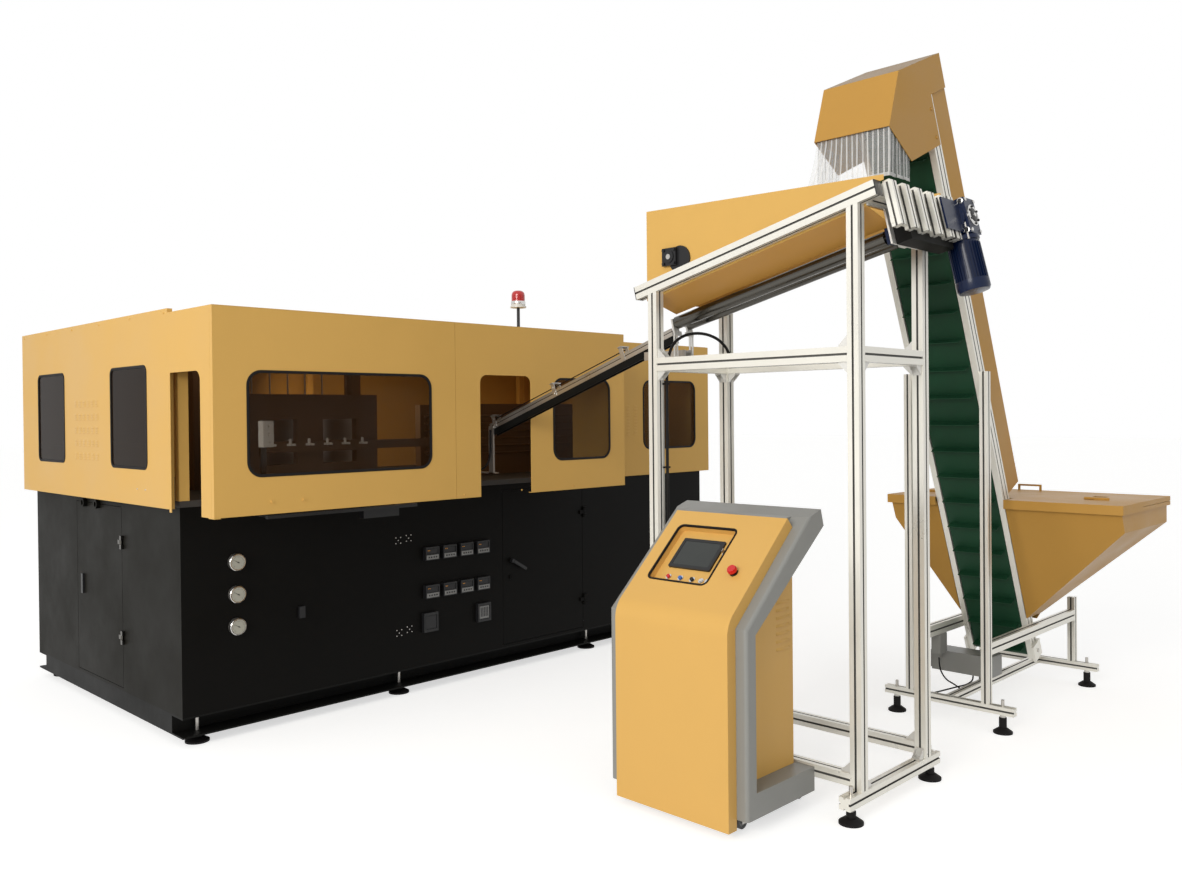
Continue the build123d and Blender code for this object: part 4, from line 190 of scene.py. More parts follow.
tool_metal = material("mould aluminium", (0.50, 0.47, 0.42), 0.35, metal=0.85, mottle=0.08,
                      bump=0.1, grain=240.0)

# Rubber and plastics
rubber = material("black rubber", (0.007, 0.006, 0.006), 0.62, mottle=0.2, bump=0.3, grain=350.0,
                  specular=0.18)
tyre_grey = material("wheel tread", (0.045, 0.045, 0.047), 0.5, mottle=0.15, bump=0.2, grain=400.0)
belt_green = material("green belt", (0.008, 0.050, 0.022), 0.5, mottle=0.22, patch=9.0, bump=0.35,
                      grain=420.0, specular=0.25)
black_plastic = material("black plastic", (0.010, 0.010, 0.011), 0.34, mottle=0.12, bump=0.12,
                         grain=800.0, specular=0.35)
grey_plastic = material("grey plastic", (0.19, 0.19, 0.185), 0.42, mottle=0.05, bump=0.1, grain=800.0)
white_plastic = material("white plastic", (0.70, 0.70, 0.67), 0.35, mottle=0.03, bump=0.05,
                         grain=800.0)
red_plastic = material("red plastic", (0.58, 0.014, 0.012), 0.28, mottle=0.06, bump=0.05, grain=700.0)
blue_plastic = material("blue plastic", (0.03, 0.12, 0.42), 0.28, mottle=0.06, bump=0.05,
                        grain=700.0)

# Lamps, dials and clear pieces
amber = material("amber lamp", (0.70, 0.28, 0.02), 0.3, mottle=0.05)
beacon_red = material("beacon lens", (0.50, 0.010, 0.008), 0.14, mottle=0.06, patch=30.0, coat=0.5)
display = material("display", (0.030, 0.034, 0.032), 0.2, mottle=0.12, patch=9.0,
                   rough_spread=0.03, specular=0.3)
dial_white = material("dial face", (0.38, 0.37, 0.31), 0.5, mottle=0.03)
smoked = material("smoked window", (0.022, 0.010, 0.004), 0.06, mottle=0.02, rough_spread=0.01,
                  specular=0.07, alpha=0.38)
smoked_end = material("dark window", (0.014, 0.008, 0.004), 0.06, mottle=0.02, rough_spread=0.01,
                      specular=0.04, alpha=0.80)
curtain = material("clear strips", (0.78, 0.79, 0.78), 0.2, mottle=0.2, patch=30.0, bump=0.4,
                   grain=35.0, brush=(3.0, 3.0, 0.4), alpha=0.17)
# Painted highlight: one long edge and the lower end of each strip, lighter and less clear
strip_edge_highlight = material("strip edges painted highlight", (0.86, 0.86, 0.84), 0.25, mottle=0.15, patch=30.0, alpha=0.42)

finishes = {
    tan_paint: ["end_enclosure", "front_guard_box", "front_guard_door", "rear_enclosure", "trough"],
    brown_frame: ["clamp_frame", "transfer_track", "heater_ovens", "transfer_carriage"],
    bright_cast: ["valve_block"],
    lift_paint: ["elevator_guards", "elevator_hood", "hopper", "hopper_lid"],
    table_paint: ["machine_table"],
    grey_paint: ["console_cheeks", "elevator_drive"],
    dark_paint: ["base_panels", "left_end_door", "front_base_door"],
    black_paint: ["base_skid"],
    blue_paint: ["drive_gearmotor"],
    bar_metal: ["stand_frame", "elevator_frame"],
    cast_metal: ["corner_brackets", "orienter_bearings"],
    steel: ["chute", "kicker_wheel", "caster_fork_near", "caster_fork_far", "key_switch",
            "head_roller", "tail_roller", "pressure_gauges"],
    dark_steel: ["roller_left", "roller_right"],
    tool_metal: ["mould_half_front", "mould_half_back", "stretch_carriage"],
    belt_green: ["elevator_belt"],
    black_plastic: ["control_meters", "door_lever", "touch_screen", "push_button_black"],
    white_plastic: ["beacon_mast"],
    beacon_red: ["beacon_dome"],
    red_plastic: ["push_button_red", "emergency_stop"],
    blue_plastic: ["push_button_blue"],
    smoked: ["window_panes", "door_window"],
    curtain: ["strip_curtain"],
    rubber: ["machine_cables", "levelling_feet"],
    tyre_grey: ["wheel_front_near", "wheel_front_far", "wheel_rear_near", "wheel_rear_far"],
    console_paint: ["console_front", "console_cabinet"],
}
SHARP_TURN = math.radians(28)
for finish, names in finishes.items():
    for name in names:
        mesh = nodes[name].data
        mesh.materials.clear()
        mesh.materials.append(finish)
        mesh.shade_smooth()
        mesh.set_sharp_from_angle(angle=SHARP_TURN)


# Faces of a carried-over piece that have another finish, chosen by centre in mm and normal

def paint_where(name, finish, chosen):
    """Gives the faces of a node for which chosen(centre, normal) holds another finish."""
    mesh = nodes[name].data
    mesh.materials.append(finish)
    index = len(mesh.materials) - 1
    for face in mesh.polygons:
        if chosen(face.center * TO_MM, face.normal):
            face.material_index = index


def foot_stem(c, n):
    """The bright stem and nut of a levelling foot, under the machine, the stand or the elevator."""
    if c.y > -200:
        return c.z > 36.5
    return c.z > (48.5 if c.x < 2100 else 76.5)


def end_sheet(c, n):
    return c.x < -106.5 and n.x < -0.5


def end_hinge(c, n):
    """The hinges of the left end door, which stand proud of it."""
    return c.x < -110.4 and 590 < c.y < 665 and (395 < c.z < 475 or 895 < c.z < 975)


def upper_left_bearing(c, n):
    """The block that holds the upper end of the left roller."""
    up, out = slope_place(c)
    return abs(c.x - 1576) < 27 and 1148 < up < 1184.5 and out < -60


def kicker_bearing(c, n):
    """The left flange bearing of the kicker wheel, with its round cover."""
    return c.y > -2020 and 2200 < c.z < 2360 and c.x < 1385


# Painted shade: the belt cover under the drive wall's bars is painted black, for the shadow band under
# them
def belt_cover_shade(c, n):
    up, out = slope_place(c)
    return up > 1193.5 and out < -5 and c.x > 1535


def rail_end(c, n):
    """The caps on both ends of the two sloping rails."""
    up, out = slope_place(c)
    return (-0.2 < out < 60.2 and (c.x < INNER_LEFT_X or c.x > INNER_RIGHT_X)
            and (up < 3.8 or 1256.2 < up < 1260.1))


def near_spot(c, spot, reach):
    """Whether a point lies in the square of half width reach about a spot of the console's face."""
    return abs(c.y - spot[1]) < reach and abs(face_place(c)[0] - spot[0]) < reach


def stop_collar(c, n):
    return 0.4 < face_place(c)[1] < 7 and near_spot(c, STOP_SPOT, 19)


def control_collar(c, n):
    """The round collars of the controls in the recess."""
    return (-31.9 < face_place(c)[1] < -20
            and any(near_spot(c, spot, 13.4) for spot in COLLAR_SPOTS))


paint_where("levelling_feet", steel, foot_stem)
paint_where("base_panels", end_paint, end_sheet)
paint_where("base_panels", dark_steel, end_hinge)
paint_where("left_end_door", end_paint, lambda c, n: c.x < -106.5)
paint_where("left_end_door", dark_steel, end_hinge)
paint_where("left_end_door", black_plastic, lambda c, n: c.x < -110.4 and c.y > 1100)
paint_where("orienter_bearings", blue_paint, upper_left_bearing)
paint_where("orienter_bearings", black_plastic, kicker_bearing)
# Painted shade: the belt cover in black
paint_where("orienter_bearings", black_paint, belt_cover_shade)
paint_where("stand_frame", black_plastic, rail_end)
paint_where("valve_block", dark_steel, lambda c, n: 1130 < c.z < 1430)
paint_where("valve_block", black_plastic, lambda c, n: c.z < 1130)
paint_where("beacon_mast", black_plastic, lambda c, n: c.z < 2336)
paint_where("transfer_carriage", bright_cast, lambda c, n: c.y < 211)
# Painted shade on the hood's upward faces
paint_where("elevator_hood", hood_top_shade, lambda c, n: n.z > 0.5)
# Painted shade on the trough's downward faces
paint_where("trough", trough_underside_shade, lambda c, n: n.z < -0.3)
paint_where("emergency_stop", black_plastic, lambda c, n: face_place(c)[1] < 13.9)
paint_where("console_front", black_plastic, stop_collar)
paint_where("console_front", bright_steel, control_collar)
# The end windows are darker than the front and rear ones
paint_where("window_panes", smoked_end, lambda c, n: c.x < 0)

HUB_RADIUS = 23.5
for name in finishes[tyre_grey]:
    low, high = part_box(name)
    axle = (low + high) / 2 * TO_MM
    paint_where(name, grey_plastic,
                lambda c, n: math.hypot(c.x - axle.x, c.z - axle.z) < HUB_RADIUS)


def paint_slot_shade(name, finish, widths, shortest=90, tolerance=0.3):
    """Paints shade into a bar's slots: their long narrow faces get a dark finish; widths are theirs in
    mm.
    """
    mesh = nodes[name].data
    mesh.materials.append(finish)
    index = len(mesh.materials) - 1
    places = [v.co * TO_MM for v in mesh.vertices]
    for face in mesh.polygons:
        ids = list(face.vertices)
        edges = [(places[a] - places[b]).length for a, b in zip(ids, ids[1:] + ids[:1])]
        if max(edges) > shortest and any(abs(min(edges) - width) < tolerance for width in widths):
            face.material_index = index


# Painted shade in the slots of the stand's and the elevator's bars
paint_slot_shade("stand_frame", slot_shade_metal, (7, 9))
paint_slot_shade("elevator_frame", slot_shade_metal, (5, 7, 8, 9))


# Mesh helpers: a shape is a pair of lists, its corner points and its faces

def piece(name, shape, finish, body, smooth=30.0):
    """A mesh object that rides on a body; edges that turn by more than smooth degrees stay sharp."""
    verts, faces = shape
    mesh = bpy.data.meshes.new(name)
    mesh.from_pydata([tuple(v) for v in verts], [], faces)
    mesh.materials.append(finish)
    mesh.update()
    if smooth:
        mesh.shade_smooth()
        mesh.set_sharp_from_angle(angle=math.radians(smooth))
    made = bpy.data.objects.new(name, mesh)
    bpy.context.scene.collection.objects.link(made)
    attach(made, body)
    return made


def refinish(made, finish, chosen_faces):
    """Gives some faces of a new piece, by their numbers, a second finish."""
    made.data.materials.append(finish)
    for index in chosen_faces:
        made.data.polygons[index].material_index = 1


def spaced(start, end, count):
    return [start + (end - start) * i / (count - 1) for i in range(count)]


def round_points(radius, count, start=0.0):
    """Evenly spaced points of a circle, the first one at an angle in degrees."""
    turns = [math.radians(start + 360 * i / count) for i in range(count)]
    return [(radius * math.cos(turn), radius * math.sin(turn)) for turn in turns]


def lay(origin, u_dir, v_dir):
    """A placing function: (u, v, n) in mm on a plane to a point in metres."""
    origin, u_dir, v_dir = Vector(origin), Vector(u_dir).normalized(), Vector(v_dir).normalized()
    normal = u_dir.cross(v_dir)
    return lambda u, v, n=0.0: (origin + u_dir * u + v_dir * v + normal * n) * MM


def join_loops(faces, low, high, count):
    """Adds faces between two closed loops of count points, whose first points are low and high."""
    for i in range(count):
        j = (i + 1) % count
        faces.append((low + i, low + j, high + j, high + i))


def rounded(u0, u1, v0, v1, radius, steps=8):
    """Points round a rounded rectangle, anticlockwise."""
    points = []
    for cu, cv, start in ((u1 - radius, v0 + radius, -90), (u1 - radius, v1 - radius, 0),
                          (u0 + radius, v1 - radius, 90), (u0 + radius, v0 + radius, 180)):
        for i in range(steps + 1):
            turn = math.radians(start + 90 * i / steps)
            points.append((cu + radius * math.cos(turn), cv + radius * math.sin(turn)))
    return points


def ring(shape, place, rect, radius, profile):
    """Adds a rounded frame whose cross-section is profile, as (outward from the rect, height)."""
    verts, faces = shape
    u0, u1, v0, v1 = rect
    loops = []
    for grow, height in profile:
        outline = rounded(u0 - grow, u1 + grow, v0 - grow, v1 + grow, max(0.5, radius + grow))
        loops.append(len(verts))
        verts.extend(place(u, v, height) for u, v in outline)
    for low, high in zip(loops, loops[1:] + loops[:1]):
        join_loops(faces, low, high, len(outline))


def disc_stack(shape, place, centre, stack, sides=20):
    """Adds a turned shape about the plane's normal, as (radius, height) from its foot to its top."""
    verts, faces = shape
    loops = []
    for radius, height in stack:
        loops.append(len(verts))
        verts.extend(place(centre[0] + u, centre[1] + v, height)
                     for u, v in round_points(radius, sides))
    for low, high in zip(loops[:-1], loops[1:]):
        join_loops(faces, low, high, sides)
    faces.append(tuple(range(loops[-1], loops[-1] + sides)))


def slab(shape, place, rect, low, high, bevel=0.8):
    """Adds a plate with bevelled upper edges."""
    verts, faces = shape
    u0, u1, v0, v1 = rect
    loops = []
    for inset, height in ((0.0, low), (0.0, high - bevel), (bevel, high)):
        loops.append(len(verts))
        verts.extend(place(u, v, height) for u, v in (
            (u0 + inset, v0 + inset), (u1 - inset, v0 + inset),
            (u1 - inset, v1 - inset), (u0 + inset, v1 - inset)))
    for a, b in zip(loops[:-1], loops[1:]):
        join_loops(faces, a, b, 4)
    faces.append(tuple(range(loops[-1], loops[-1] + 4)))


def bar(shape, place, us, vs, ns):
    """Adds a plain box between the pairs us, vs and ns of a place."""
    verts, faces = shape
    start = len(verts)
    for n in ns:
        verts.extend(place(u, v, n) for u, v in (
            (us[0], vs[0]), (us[1], vs[0]), (us[1], vs[1]), (us[0], vs[1])))
    faces.append((start + 3, start + 2, start + 1, start))
    faces.append((start + 4, start + 5, start + 6, start + 7))
    join_loops(faces, start, start + 4, 4)


def grooved_bar(shape, shaded_faces, place, middle, wide, deep, ns, half_groove=4.0, groove_deep=6.0):
    """Adds a bar along the normal, centred on middle, with a groove along each of its sides; the faces
    that line the grooves are listed for painted shade.
    """
    verts, faces = shape
    w, d, g, t = wide / 2, deep / 2, half_groove, groove_deep
    outline = [(-w, -d), (-g, -d), (-g, t - d), (g, t - d), (g, -d), (w, -d), (w, -g), (w - t, -g),
               (w - t, g), (w, g), (w, d), (g, d), (g, d - t), (-g, d - t), (-g, d), (-w, d),
               (-w, g), (t - w, g), (t - w, -g), (-w, -g)]
    start, count = len(verts), len(outline)
    for n in ns:
        verts.extend(place(middle[0] + u, middle[1] + v, n) for u, v in outline)
    # Each side has five faces, of which the middle three line its groove and get painted shade
    shaded_faces.extend(len(faces) + i for i in range(count) if i % 5 in (1, 2, 3))
    join_loops(faces, start, start + count, count)
    faces.append(tuple(range(start + count - 1, start - 1, -1)))
    faces.append(tuple(range(start + count, start + 2 * count)))


def screws(name, place, spots, finish, body, radius=5.0, height=3.0):
    """Domed screw heads with a recess."""
    shape = ([], [])
    for spot in spots:
        disc_stack(shape, place, spot,
                   ((radius, -0.5), (radius, height * 0.45), (radius * 0.72, height),
                    (radius * 0.42, height), (radius * 0.36, height * 0.45)), sides=12)
    piece(name, shape, finish, body)


def hex_bolts(name, place, spots, finish, body, radius=8.0, height=6.0):
    """Hexagon heads on round washers."""
    shape = ([], [])
    for spot in spots:
        disc_stack(shape, place, spot, ((radius * 1.3, -0.5), (radius * 1.3, 1.2)), sides=16)
        disc_stack(shape, place, spot,
                   ((radius, 1.0), (radius, height - 0.8), (radius * 0.86, height)), sides=6)
    piece(name, shape, finish, body)


# Places on the machine's faces: u to the right as seen from outside, v up, n outward
end_wall = lay((END_WALL_X, 0, 0), (0, -1, 0), (0, 0, 1))
guard_face = lay((0, GUARD_Y, 0), (1, 0, 0), (0, 0, 1))
rear_face = lay((0, REAR_Y, 0), (1, 0, 0), (0, 0, 1))
base_face = lay((0, BASE_Y, 0), (1, 0, 0), (0, 0, 1))
console_face = lay((BEND_X, 0, BEND_Z), (0, -1, 0), FACE_UP)


# Windows: black seals round every opening, whose sides are given on its face

seal_profile = ((9.0, -1.0), (9.0, 1.6), (6.5, 3.0), (-2.0, 3.0), (-4.5, 1.6), (-4.5, -3.5))
for name, place, rect, radius, body in (
    ("seal_end_back", end_wall, (-1760, -1322, 1343, 1838), 30, "line"),
    ("seal_end_front", end_wall, (-620, -166, 1338, 1836), 30, "line"),
    ("seal_guard_right", guard_face, (1897, 2364, 1321, 1789), 62, "line"),
    ("seal_rear", rear_face, (3190, 3761, 1340, 1813), 62, "line"),
    ("seal_guard_door", guard_face, (6, 1011, 1318, 1788), 62, "front_guard_door"),
):
    seal = ([], [])
    ring(seal, place, rect, radius, seal_profile)
    piece(name, seal, rubber, body)


# Louvres: rows of short pressed hoods

def louvres(name, place, rows, columns, wide, high, body, finish, out=4.0, steps=6):
    """Hoods about the given rows and columns, which swell to out in the middle of their width."""
    verts, faces = [], []
    for u in columns:
        for v in rows:
            start = len(verts)
            for i in range(steps + 1):
                share = i / steps
                lift = math.sin(math.pi * share) ** 0.6 * out
                verts.append(place(u - wide / 2 + wide * share, v - high / 2, lift))
                verts.append(place(u - wide / 2 + wide * share, v + high / 2, 0.1))
            for i in range(steps):
                a = start + 2 * i
                faces.append((a, a + 2, a + 3, a + 1))
    piece(name, (verts, faces), finish, body, smooth=60.0)


louvres("louvres_end", end_wall, [v + dv for v in spaced(1380, 1666, 5) for dv in (-13, 0, 13)],
        spaced(-1130, -820, 6), 50, 9, "line", tan_paint)
louvres("louvres_rear", rear_face, spaced(1440, 1640, 10), spaced(2700, 3100, 6), 46, 12, "line",
        tan_paint)


# Screws that hold the sheets: two bare ones, and rows painted as the sheets are

screws("screws_end", end_wall, [(-290, 1232), (-190, 1232)], steel, "line", radius=4.0, height=2.0)
screws("screws_end_edge", end_wall, [(u, 2080) for u in spaced(-2010, 50, 6)], tan_paint, "line")
screws("screws_guard", guard_face, [(u, 1158) for u in spaced(1230, 2460, 4)], tan_paint, "line")
screws("screws_rear", rear_face, [(u, 1166) for u in spaced(2560, 3880, 4)], tan_paint, "line")

# Tapped holes on the dark base, in groups of five
screws("base_holes", base_face,
       [(x + dx, z + dz) for x, z in ((1125, 883), (1195, 890), (1125, 362), (1195, 372))
        for dx, dz in ((-16, -16), (16, -16), (-16, 16), (16, 16), (0, 0))],
       steel, "line", radius=3.4, height=1.6)


# Gauges: bezel, face, scale and needle

GAUGE_X = 164
SCALE_RADIUS = 31.0
SCALE_START, SCALE_SWEEP, SCALE_GAPS = 225, 270, 20
NEEDLE_TURN = math.radians(150)


def dial_mark(shape, z, turn, corners, height):
    """Adds a flat mark to a dial; corners are (along the direction turn, across it)."""
    verts, faces = shape
    start = len(verts)
    cos, sin = math.cos(turn), math.sin(turn)
    verts.extend(base_face(GAUGE_X + along * cos - across * sin, z + along * sin + across * cos, height)
                 for along, across in corners)
    faces.append(tuple(range(start, start + len(corners))))


bezels, dials, marks = ([], []), ([], []), ([], [])
for z in (869, 710, 551):
    disc_stack(bezels, base_face, (GAUGE_X, z), ((42.0, 18.0), (42.5, 25.0), (40.0, 27.5)), 40)
    disc_stack(dials, base_face, (GAUGE_X, z), ((35.0, 21.0), (35.0, 28.0)), 40)
    for i in range(SCALE_GAPS + 1):
        inner = SCALE_RADIUS - (7.0 if i % 5 == 0 else 3.5)
        dial_mark(marks, z, math.radians(SCALE_START - SCALE_SWEEP * i / SCALE_GAPS),
                  ((inner, -0.6), (SCALE_RADIUS, -0.6), (SCALE_RADIUS, 0.6), (inner, 0.6)), 28.3)
    dial_mark(marks, z, NEEDLE_TURN, ((-8, -1.6), (27, -0.4), (27, 0.4), (-8, 1.6)), 28.8)
    disc_stack(marks, base_face, (GAUGE_X, z), ((3.2, 28.2), (3.0, 30.0)), 12)
piece("gauge_bezels", bezels, bright_steel, "line")
piece("gauge_faces", dials, dial_white, "line")
piece("gauge_marks", marks, black_plastic, "line")


# Temperature controllers: dark display with two lamps above, pale strip with keys below

METER_COLUMNS, METER_ROWS = (1340, 1466, 1592, 1718), (790, 571)
PANEL_COLUMNS, PANEL_Z, PANEL_HALF = (1330, 1725), 395, 37

pale, black, lamps = ([], []), ([], []), ([], [])
for z in METER_ROWS:
    for x in METER_COLUMNS:
        slab(black, base_face, (x - 37, x + 37, z - 2, z + 27), 25.0, 27.0)
        slab(pale, base_face, (x - 42, x + 42, z - 33, z - 8), 29.5, 31.4)
        for dx in (-26, -9, 9, 26):
            slab(black, base_face, (x + dx - 5, x + dx + 5, z - 25, z - 16), 31.0, 32.6)
        for dx in (-30, -20):
            slab(lamps, base_face, (x + dx - 3, x + dx + 3, z + 16, z + 20), 26.5, 27.6, 0.3)
# Under them a blank dark panel, and a pale one with a row of five dark keys
for x, shape in zip(PANEL_COLUMNS, (black, pale)):
    slab(shape, base_face, (x - PANEL_HALF, x + PANEL_HALF, PANEL_Z - PANEL_HALF, PANEL_Z + PANEL_HALF),
         19.0, 21.0)
for x in spaced(1700, 1750, 5):
    slab(black, base_face, (x - 3, x + 3, 370, 425), 20.5, 22.4)
piece("meter_keys", pale, grey_plastic, "line", smooth=0)
piece("meter_faces", black, black_plastic, "line", smooth=0)
piece("meter_lamps", lamps, amber, "line", smooth=0)


# Beacon: ridged lens rings and a chrome band, with heights from the dome's foot

beacon = lay((BEACON_X, BEACON_Y, DOME_FOOT_Z), (1, 0, 0), (0, 1, 0))
ridges, band = ([], []), ([], [])
for height in spaced(8, 40, 6):
    disc_stack(ridges, beacon, (0, 0), ((46.0, height - 2.4), (47.6, height - 1.2),
                                        (47.6, height + 1.2), (46.0, height + 2.4)), 40)
disc_stack(band, beacon, (0, 0), ((50.5, -22), (51.5, -16), (51.5, -6), (50.0, 0.5)), 40)
piece("beacon_ridges", ridges, beacon_red, "line")
piece("beacon_band", band, bright_steel, "line")


# Console: seal round the recess, the screen's glass and the cabinet's louvres

seal, glass, hoods = ([], []), ([], []), ([], [])
ring(seal, console_face, (2106, 2402, 165, 455), 22,
     ((7.0, -0.5), (7.0, 1.6), (5.0, 2.6), (0.5, 2.6), (-1.5, 1.4), (-1.5, -6.0)))
piece("recess_seal", seal, rubber, "line")
slab(glass, console_face, (2162, 2344, 268, 392), -25.5, -23.6, 0.4)
piece("screen_glass", glass, display, "line", smooth=0)


def cabinet_louvre(shape, place, z):
    """Adds sheet pressed out over a slot of the cabinet's side, open below."""
    verts, faces = shape
    start = len(verts)
    for v, out in ((z + 9.0, 0.2), (z + 6.0, 2.6), (z - 1.0, 6.0), (z - 3.0, 6.2)):
        verts.extend((place(-47, v, 0.2), place(-42.3, v, out), place(42.3, v, out), place(47, v, 0.2)))
    for j in range(3):
        for k in range(3):
            a = start + 4 * j + k
            faces.append((a, a + 4, a + 5, a + 1))


for place in (lay((1240, -2566.3, 0), (1, 0, 0), (0, 0, 1)),
              lay((1240, -2044.7, 0), (-1, 0, 0), (0, 0, 1))):
    for z in spaced(640, 826, 7):
        cabinet_louvre(hoods, place, z)
piece("cabinet_louvres", hoods, console_paint, "line", smooth=50.0)


# Gearmotor: cooling fins, fan cover, the ring behind its flange, and the flange's bolts

MOTOR_X, WORM_UP, WORM_OUT = 1990, 1267, -22
FINS, FIN_ENDS = 30, (132.0, 286.0)

motor_low = lay(on_slope(MOTOR_X, WORM_UP, 0), (1, 0, 0), UPHILL)
motor = ([], [])
for cos, sin in round_points(1, FINS):
    start = len(motor[0])
    for n in FIN_ENDS:
        for r, w in ((59.0, 1.6), (67.0, 1.0), (67.0, -1.0), (59.0, -1.6)):
            motor[0].append(motor_low(cos * r - sin * w, sin * r + cos * w, n))
    motor[1].extend([start + corner for corner in face] for face in (
        (0, 1, 5, 4), (1, 2, 6, 5), (2, 3, 7, 6), (0, 3, 2, 1), (4, 5, 6, 7)))
disc_stack(motor, motor_low, (0, 0), ((60, 286), (68, 288), (68, 322), (62, 334), (30, 337)), 40)
disc_stack(motor, motor_low, (0, 0), ((64, 100), (70, 103), (70, 116), (66, 120)), 40)
piece("motor_fins", motor, blue_paint, "line")
hex_bolts("motor_bolts", motor_low, round_points(66, 4, 45), steel, "line", radius=6.0, height=124.0)

# Its worm box: cover bolts on washers, the shaft's end, and the turned flange on the upper end
worm_side = lay(on_slope(MOTOR_X - 50, WORM_UP, WORM_OUT), UPHILL, ACROSS)
worm_end = lay(on_slope(MOTOR_X, WORM_UP + 65, WORM_OUT), (1, 0, 0), ACROSS)
silver, dark = ([], []), ([], [])
for u, v in ((-51, -64), (51, -64), (51, 64), (-51, 64)):
    disc_stack(silver, worm_side, (u, v), ((13.0, -0.5), (13.0, 3.5), (11.0, 4.5)), 20)
    disc_stack(dark, worm_side, (u, v), ((8.0, 4.0), (8.0, 9.0), (6.5, 10.0)), 12)
disc_stack(silver, worm_side, (0, 0), ((11.0, 11.0), (11.0, 19.0), (9.5, 20.5)), 20)
disc_stack(silver, worm_end, (0, 0),
           ((46.0, -0.5), (46.0, 6.0), (43.0, 8.0), (31.0, 8.0), (30.0, 5.0)), 40)
disc_stack(dark, worm_end, (0, 0), ((29.0, 4.5), (29.0, 9.5), (26.0, 11.0)), 40)
disc_stack(silver, worm_end, (0, 0), ((9.0, 10.5), (9.0, 14.0), (7.5, 15.0)), 20)
for spot in round_points(37.5, 6, 30):
    disc_stack(dark, worm_end, spot, ((5.2, 7.5), (5.2, 12.0), (4.2, 13.0)), 8)
for u, v in ((-40, -66), (40, -66), (40, 66), (-40, 66)):
    disc_stack(silver, worm_end, (u, v), ((8.5, -0.5), (8.5, 5.0), (7.0, 6.5)), 6)
piece("worm_box_bright_parts", silver, bright_steel, "line")
piece("worm_box_dark_parts", dark, black_plastic, "line")


# Stand: the part's bars without the drive wall, which is made again as bars with gaps between them

def in_drive_wall(point):
    up, out = slope_place(point)
    return (up > 1259.4 and -130 < out < 64 and INNER_LEFT_X < point.x < INNER_RIGHT_X
            and point.z > 2200)


def stand_without_drive_wall():
    stand = nodes["stand_frame"]
    mesh = stand.data.copy()
    edit = bmesh.new()
    edit.from_mesh(mesh)
    wall_faces = [face for face in edit.faces
                  if in_drive_wall(stand.matrix_world @ face.calc_center_median() * TO_MM)]
    bmesh.ops.delete(edit, geom=wall_faces, context="FACES")
    edit.to_mesh(mesh)
    edit.free()
    made = bpy.data.objects.new("stand_bars", mesh)
    made.matrix_world = stand.matrix_world.copy()
    bpy.context.scene.collection.objects.link(made)
    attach(made, "line")
    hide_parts("stand_frame")


stand_without_drive_wall()

WALL_BARS, WALL_FIRST_X, WALL_PITCH = 5, 1408, 104
# u to the right, v up the slope, n square down from it
wall_place = lay(on_slope(0, 0, 0), (1, 0, 0), UPHILL)
wall, groove_shade_faces = ([], []), []
for i in range(WALL_BARS):
    x = WALL_FIRST_X + i * WALL_PITCH
    grooved_bar(wall, groove_shade_faces, wall_place, (x, 1280.5), 38.0, 40.0, (-52.0, 125.0))
    # A cap on the bar's upper end, and an angle bracket on its right side
    bar(wall, wall_place, (x - 15, x + 15), (1262, 1290), (-60.0, -52.0))
    bar(wall, wall_place, (x + 19, x + 37), (1262, 1266), (-40.0, -8.0))
    bar(wall, wall_place, (x + 19, x + 23), (1262, 1296), (-40.0, -8.0))
# A strip that joins the bars near their lower ends
bar(wall, wall_place, (1386, 1854), (1261, 1275), (86.0, 112.0))
# The faces that line the grooves get the dark finish of painted shade
refinish(piece("drive_wall_bars", wall, bar_metal, "line"), slot_shade_metal, groove_shade_faces)


# Preform chute: rails with a rolled edge, dark guides under them, small clamps over them

CHUTE_TOP_Y, CHUTE_TOP_Z = -1700, 1992
CHUTE_RUN, CHUTE_DROP = 1370, 462
CHUTE_LONG = math.hypot(CHUTE_RUN, CHUTE_DROP)
RAIL_INNER, RAIL_OUTER = 13.5, 19.5
CLAMPS = (340, 872, 1402)

world_place = lay((0, 0, 0), (1, 0, 0), (0, 1, 0))
# u down the chute from its top, v square up from it, n across it to the right
chute_line = lay((ORIENTER_X, CHUTE_TOP_Y, CHUTE_TOP_Z), (0, CHUTE_RUN, -CHUTE_DROP),
                 (0, CHUTE_DROP, CHUTE_RUN))
bright, dark = ([], []), ([], [])
for side in (-1, 1):
    across = sorted((side * RAIL_INNER, side * RAIL_OUTER))
    bar(bright, chute_line, (0, CHUTE_LONG), (-13, 0), across)
    bar(dark, chute_line, (0, CHUTE_LONG), (-17, -13), sorted((side * RAIL_INNER, side * 18.0)))
    bar(bright, chute_line, (0, CHUTE_LONG), (-36, -17), across)
    bar(bright, chute_line, (0, CHUTE_LONG), (-3, 0), sorted((side * RAIL_OUTER, side * 23.0)))
    bar(dark, chute_line, (6, CHUTE_LONG - 4), (-72, -36), sorted((side * 12.5, side * 18.5)))
    for u in CLAMPS:
        bar(bright, chute_line, (u - 12, u + 12), (-30, 40), sorted((side * RAIL_OUTER, side * 24.0)))
        bar(bright, chute_line, (u - 12, u + 12), (36, 40), sorted((0, side * 33.0)))
    # The bracket that carries the upper end on the stand
    x = ORIENTER_X + side * 22.0
    bar(bright, world_place, (x - 2.5, x + 2.5), (-1789.7, -1756), (1785, 1885))
    bar(bright, world_place, (x - 2.5, x + 2.5), (-1760, -1530), (1845, 1885))
    bar(bright, world_place, sorted((x, x + side * 30.0)), (-1789.7, -1785), (1785, 1825))
# The guard strip over the preforms, and screws in the left side of the two lower clamps
bar(dark, chute_line, (330, 1412), (19, 22), (-4, 4))
clamp_side = lay((ORIENTER_X - 24, CHUTE_TOP_Y, CHUTE_TOP_Z), (0, -CHUTE_RUN, CHUTE_DROP),
                 (0, CHUTE_DROP, CHUTE_RUN))
for u in CLAMPS[1:]:
    for v in (-18, 16):
        disc_stack(bright, clamp_side, (-u, v), ((5.0, -0.5), (5.0, 2.4), (3.6, 3.4)), 10)
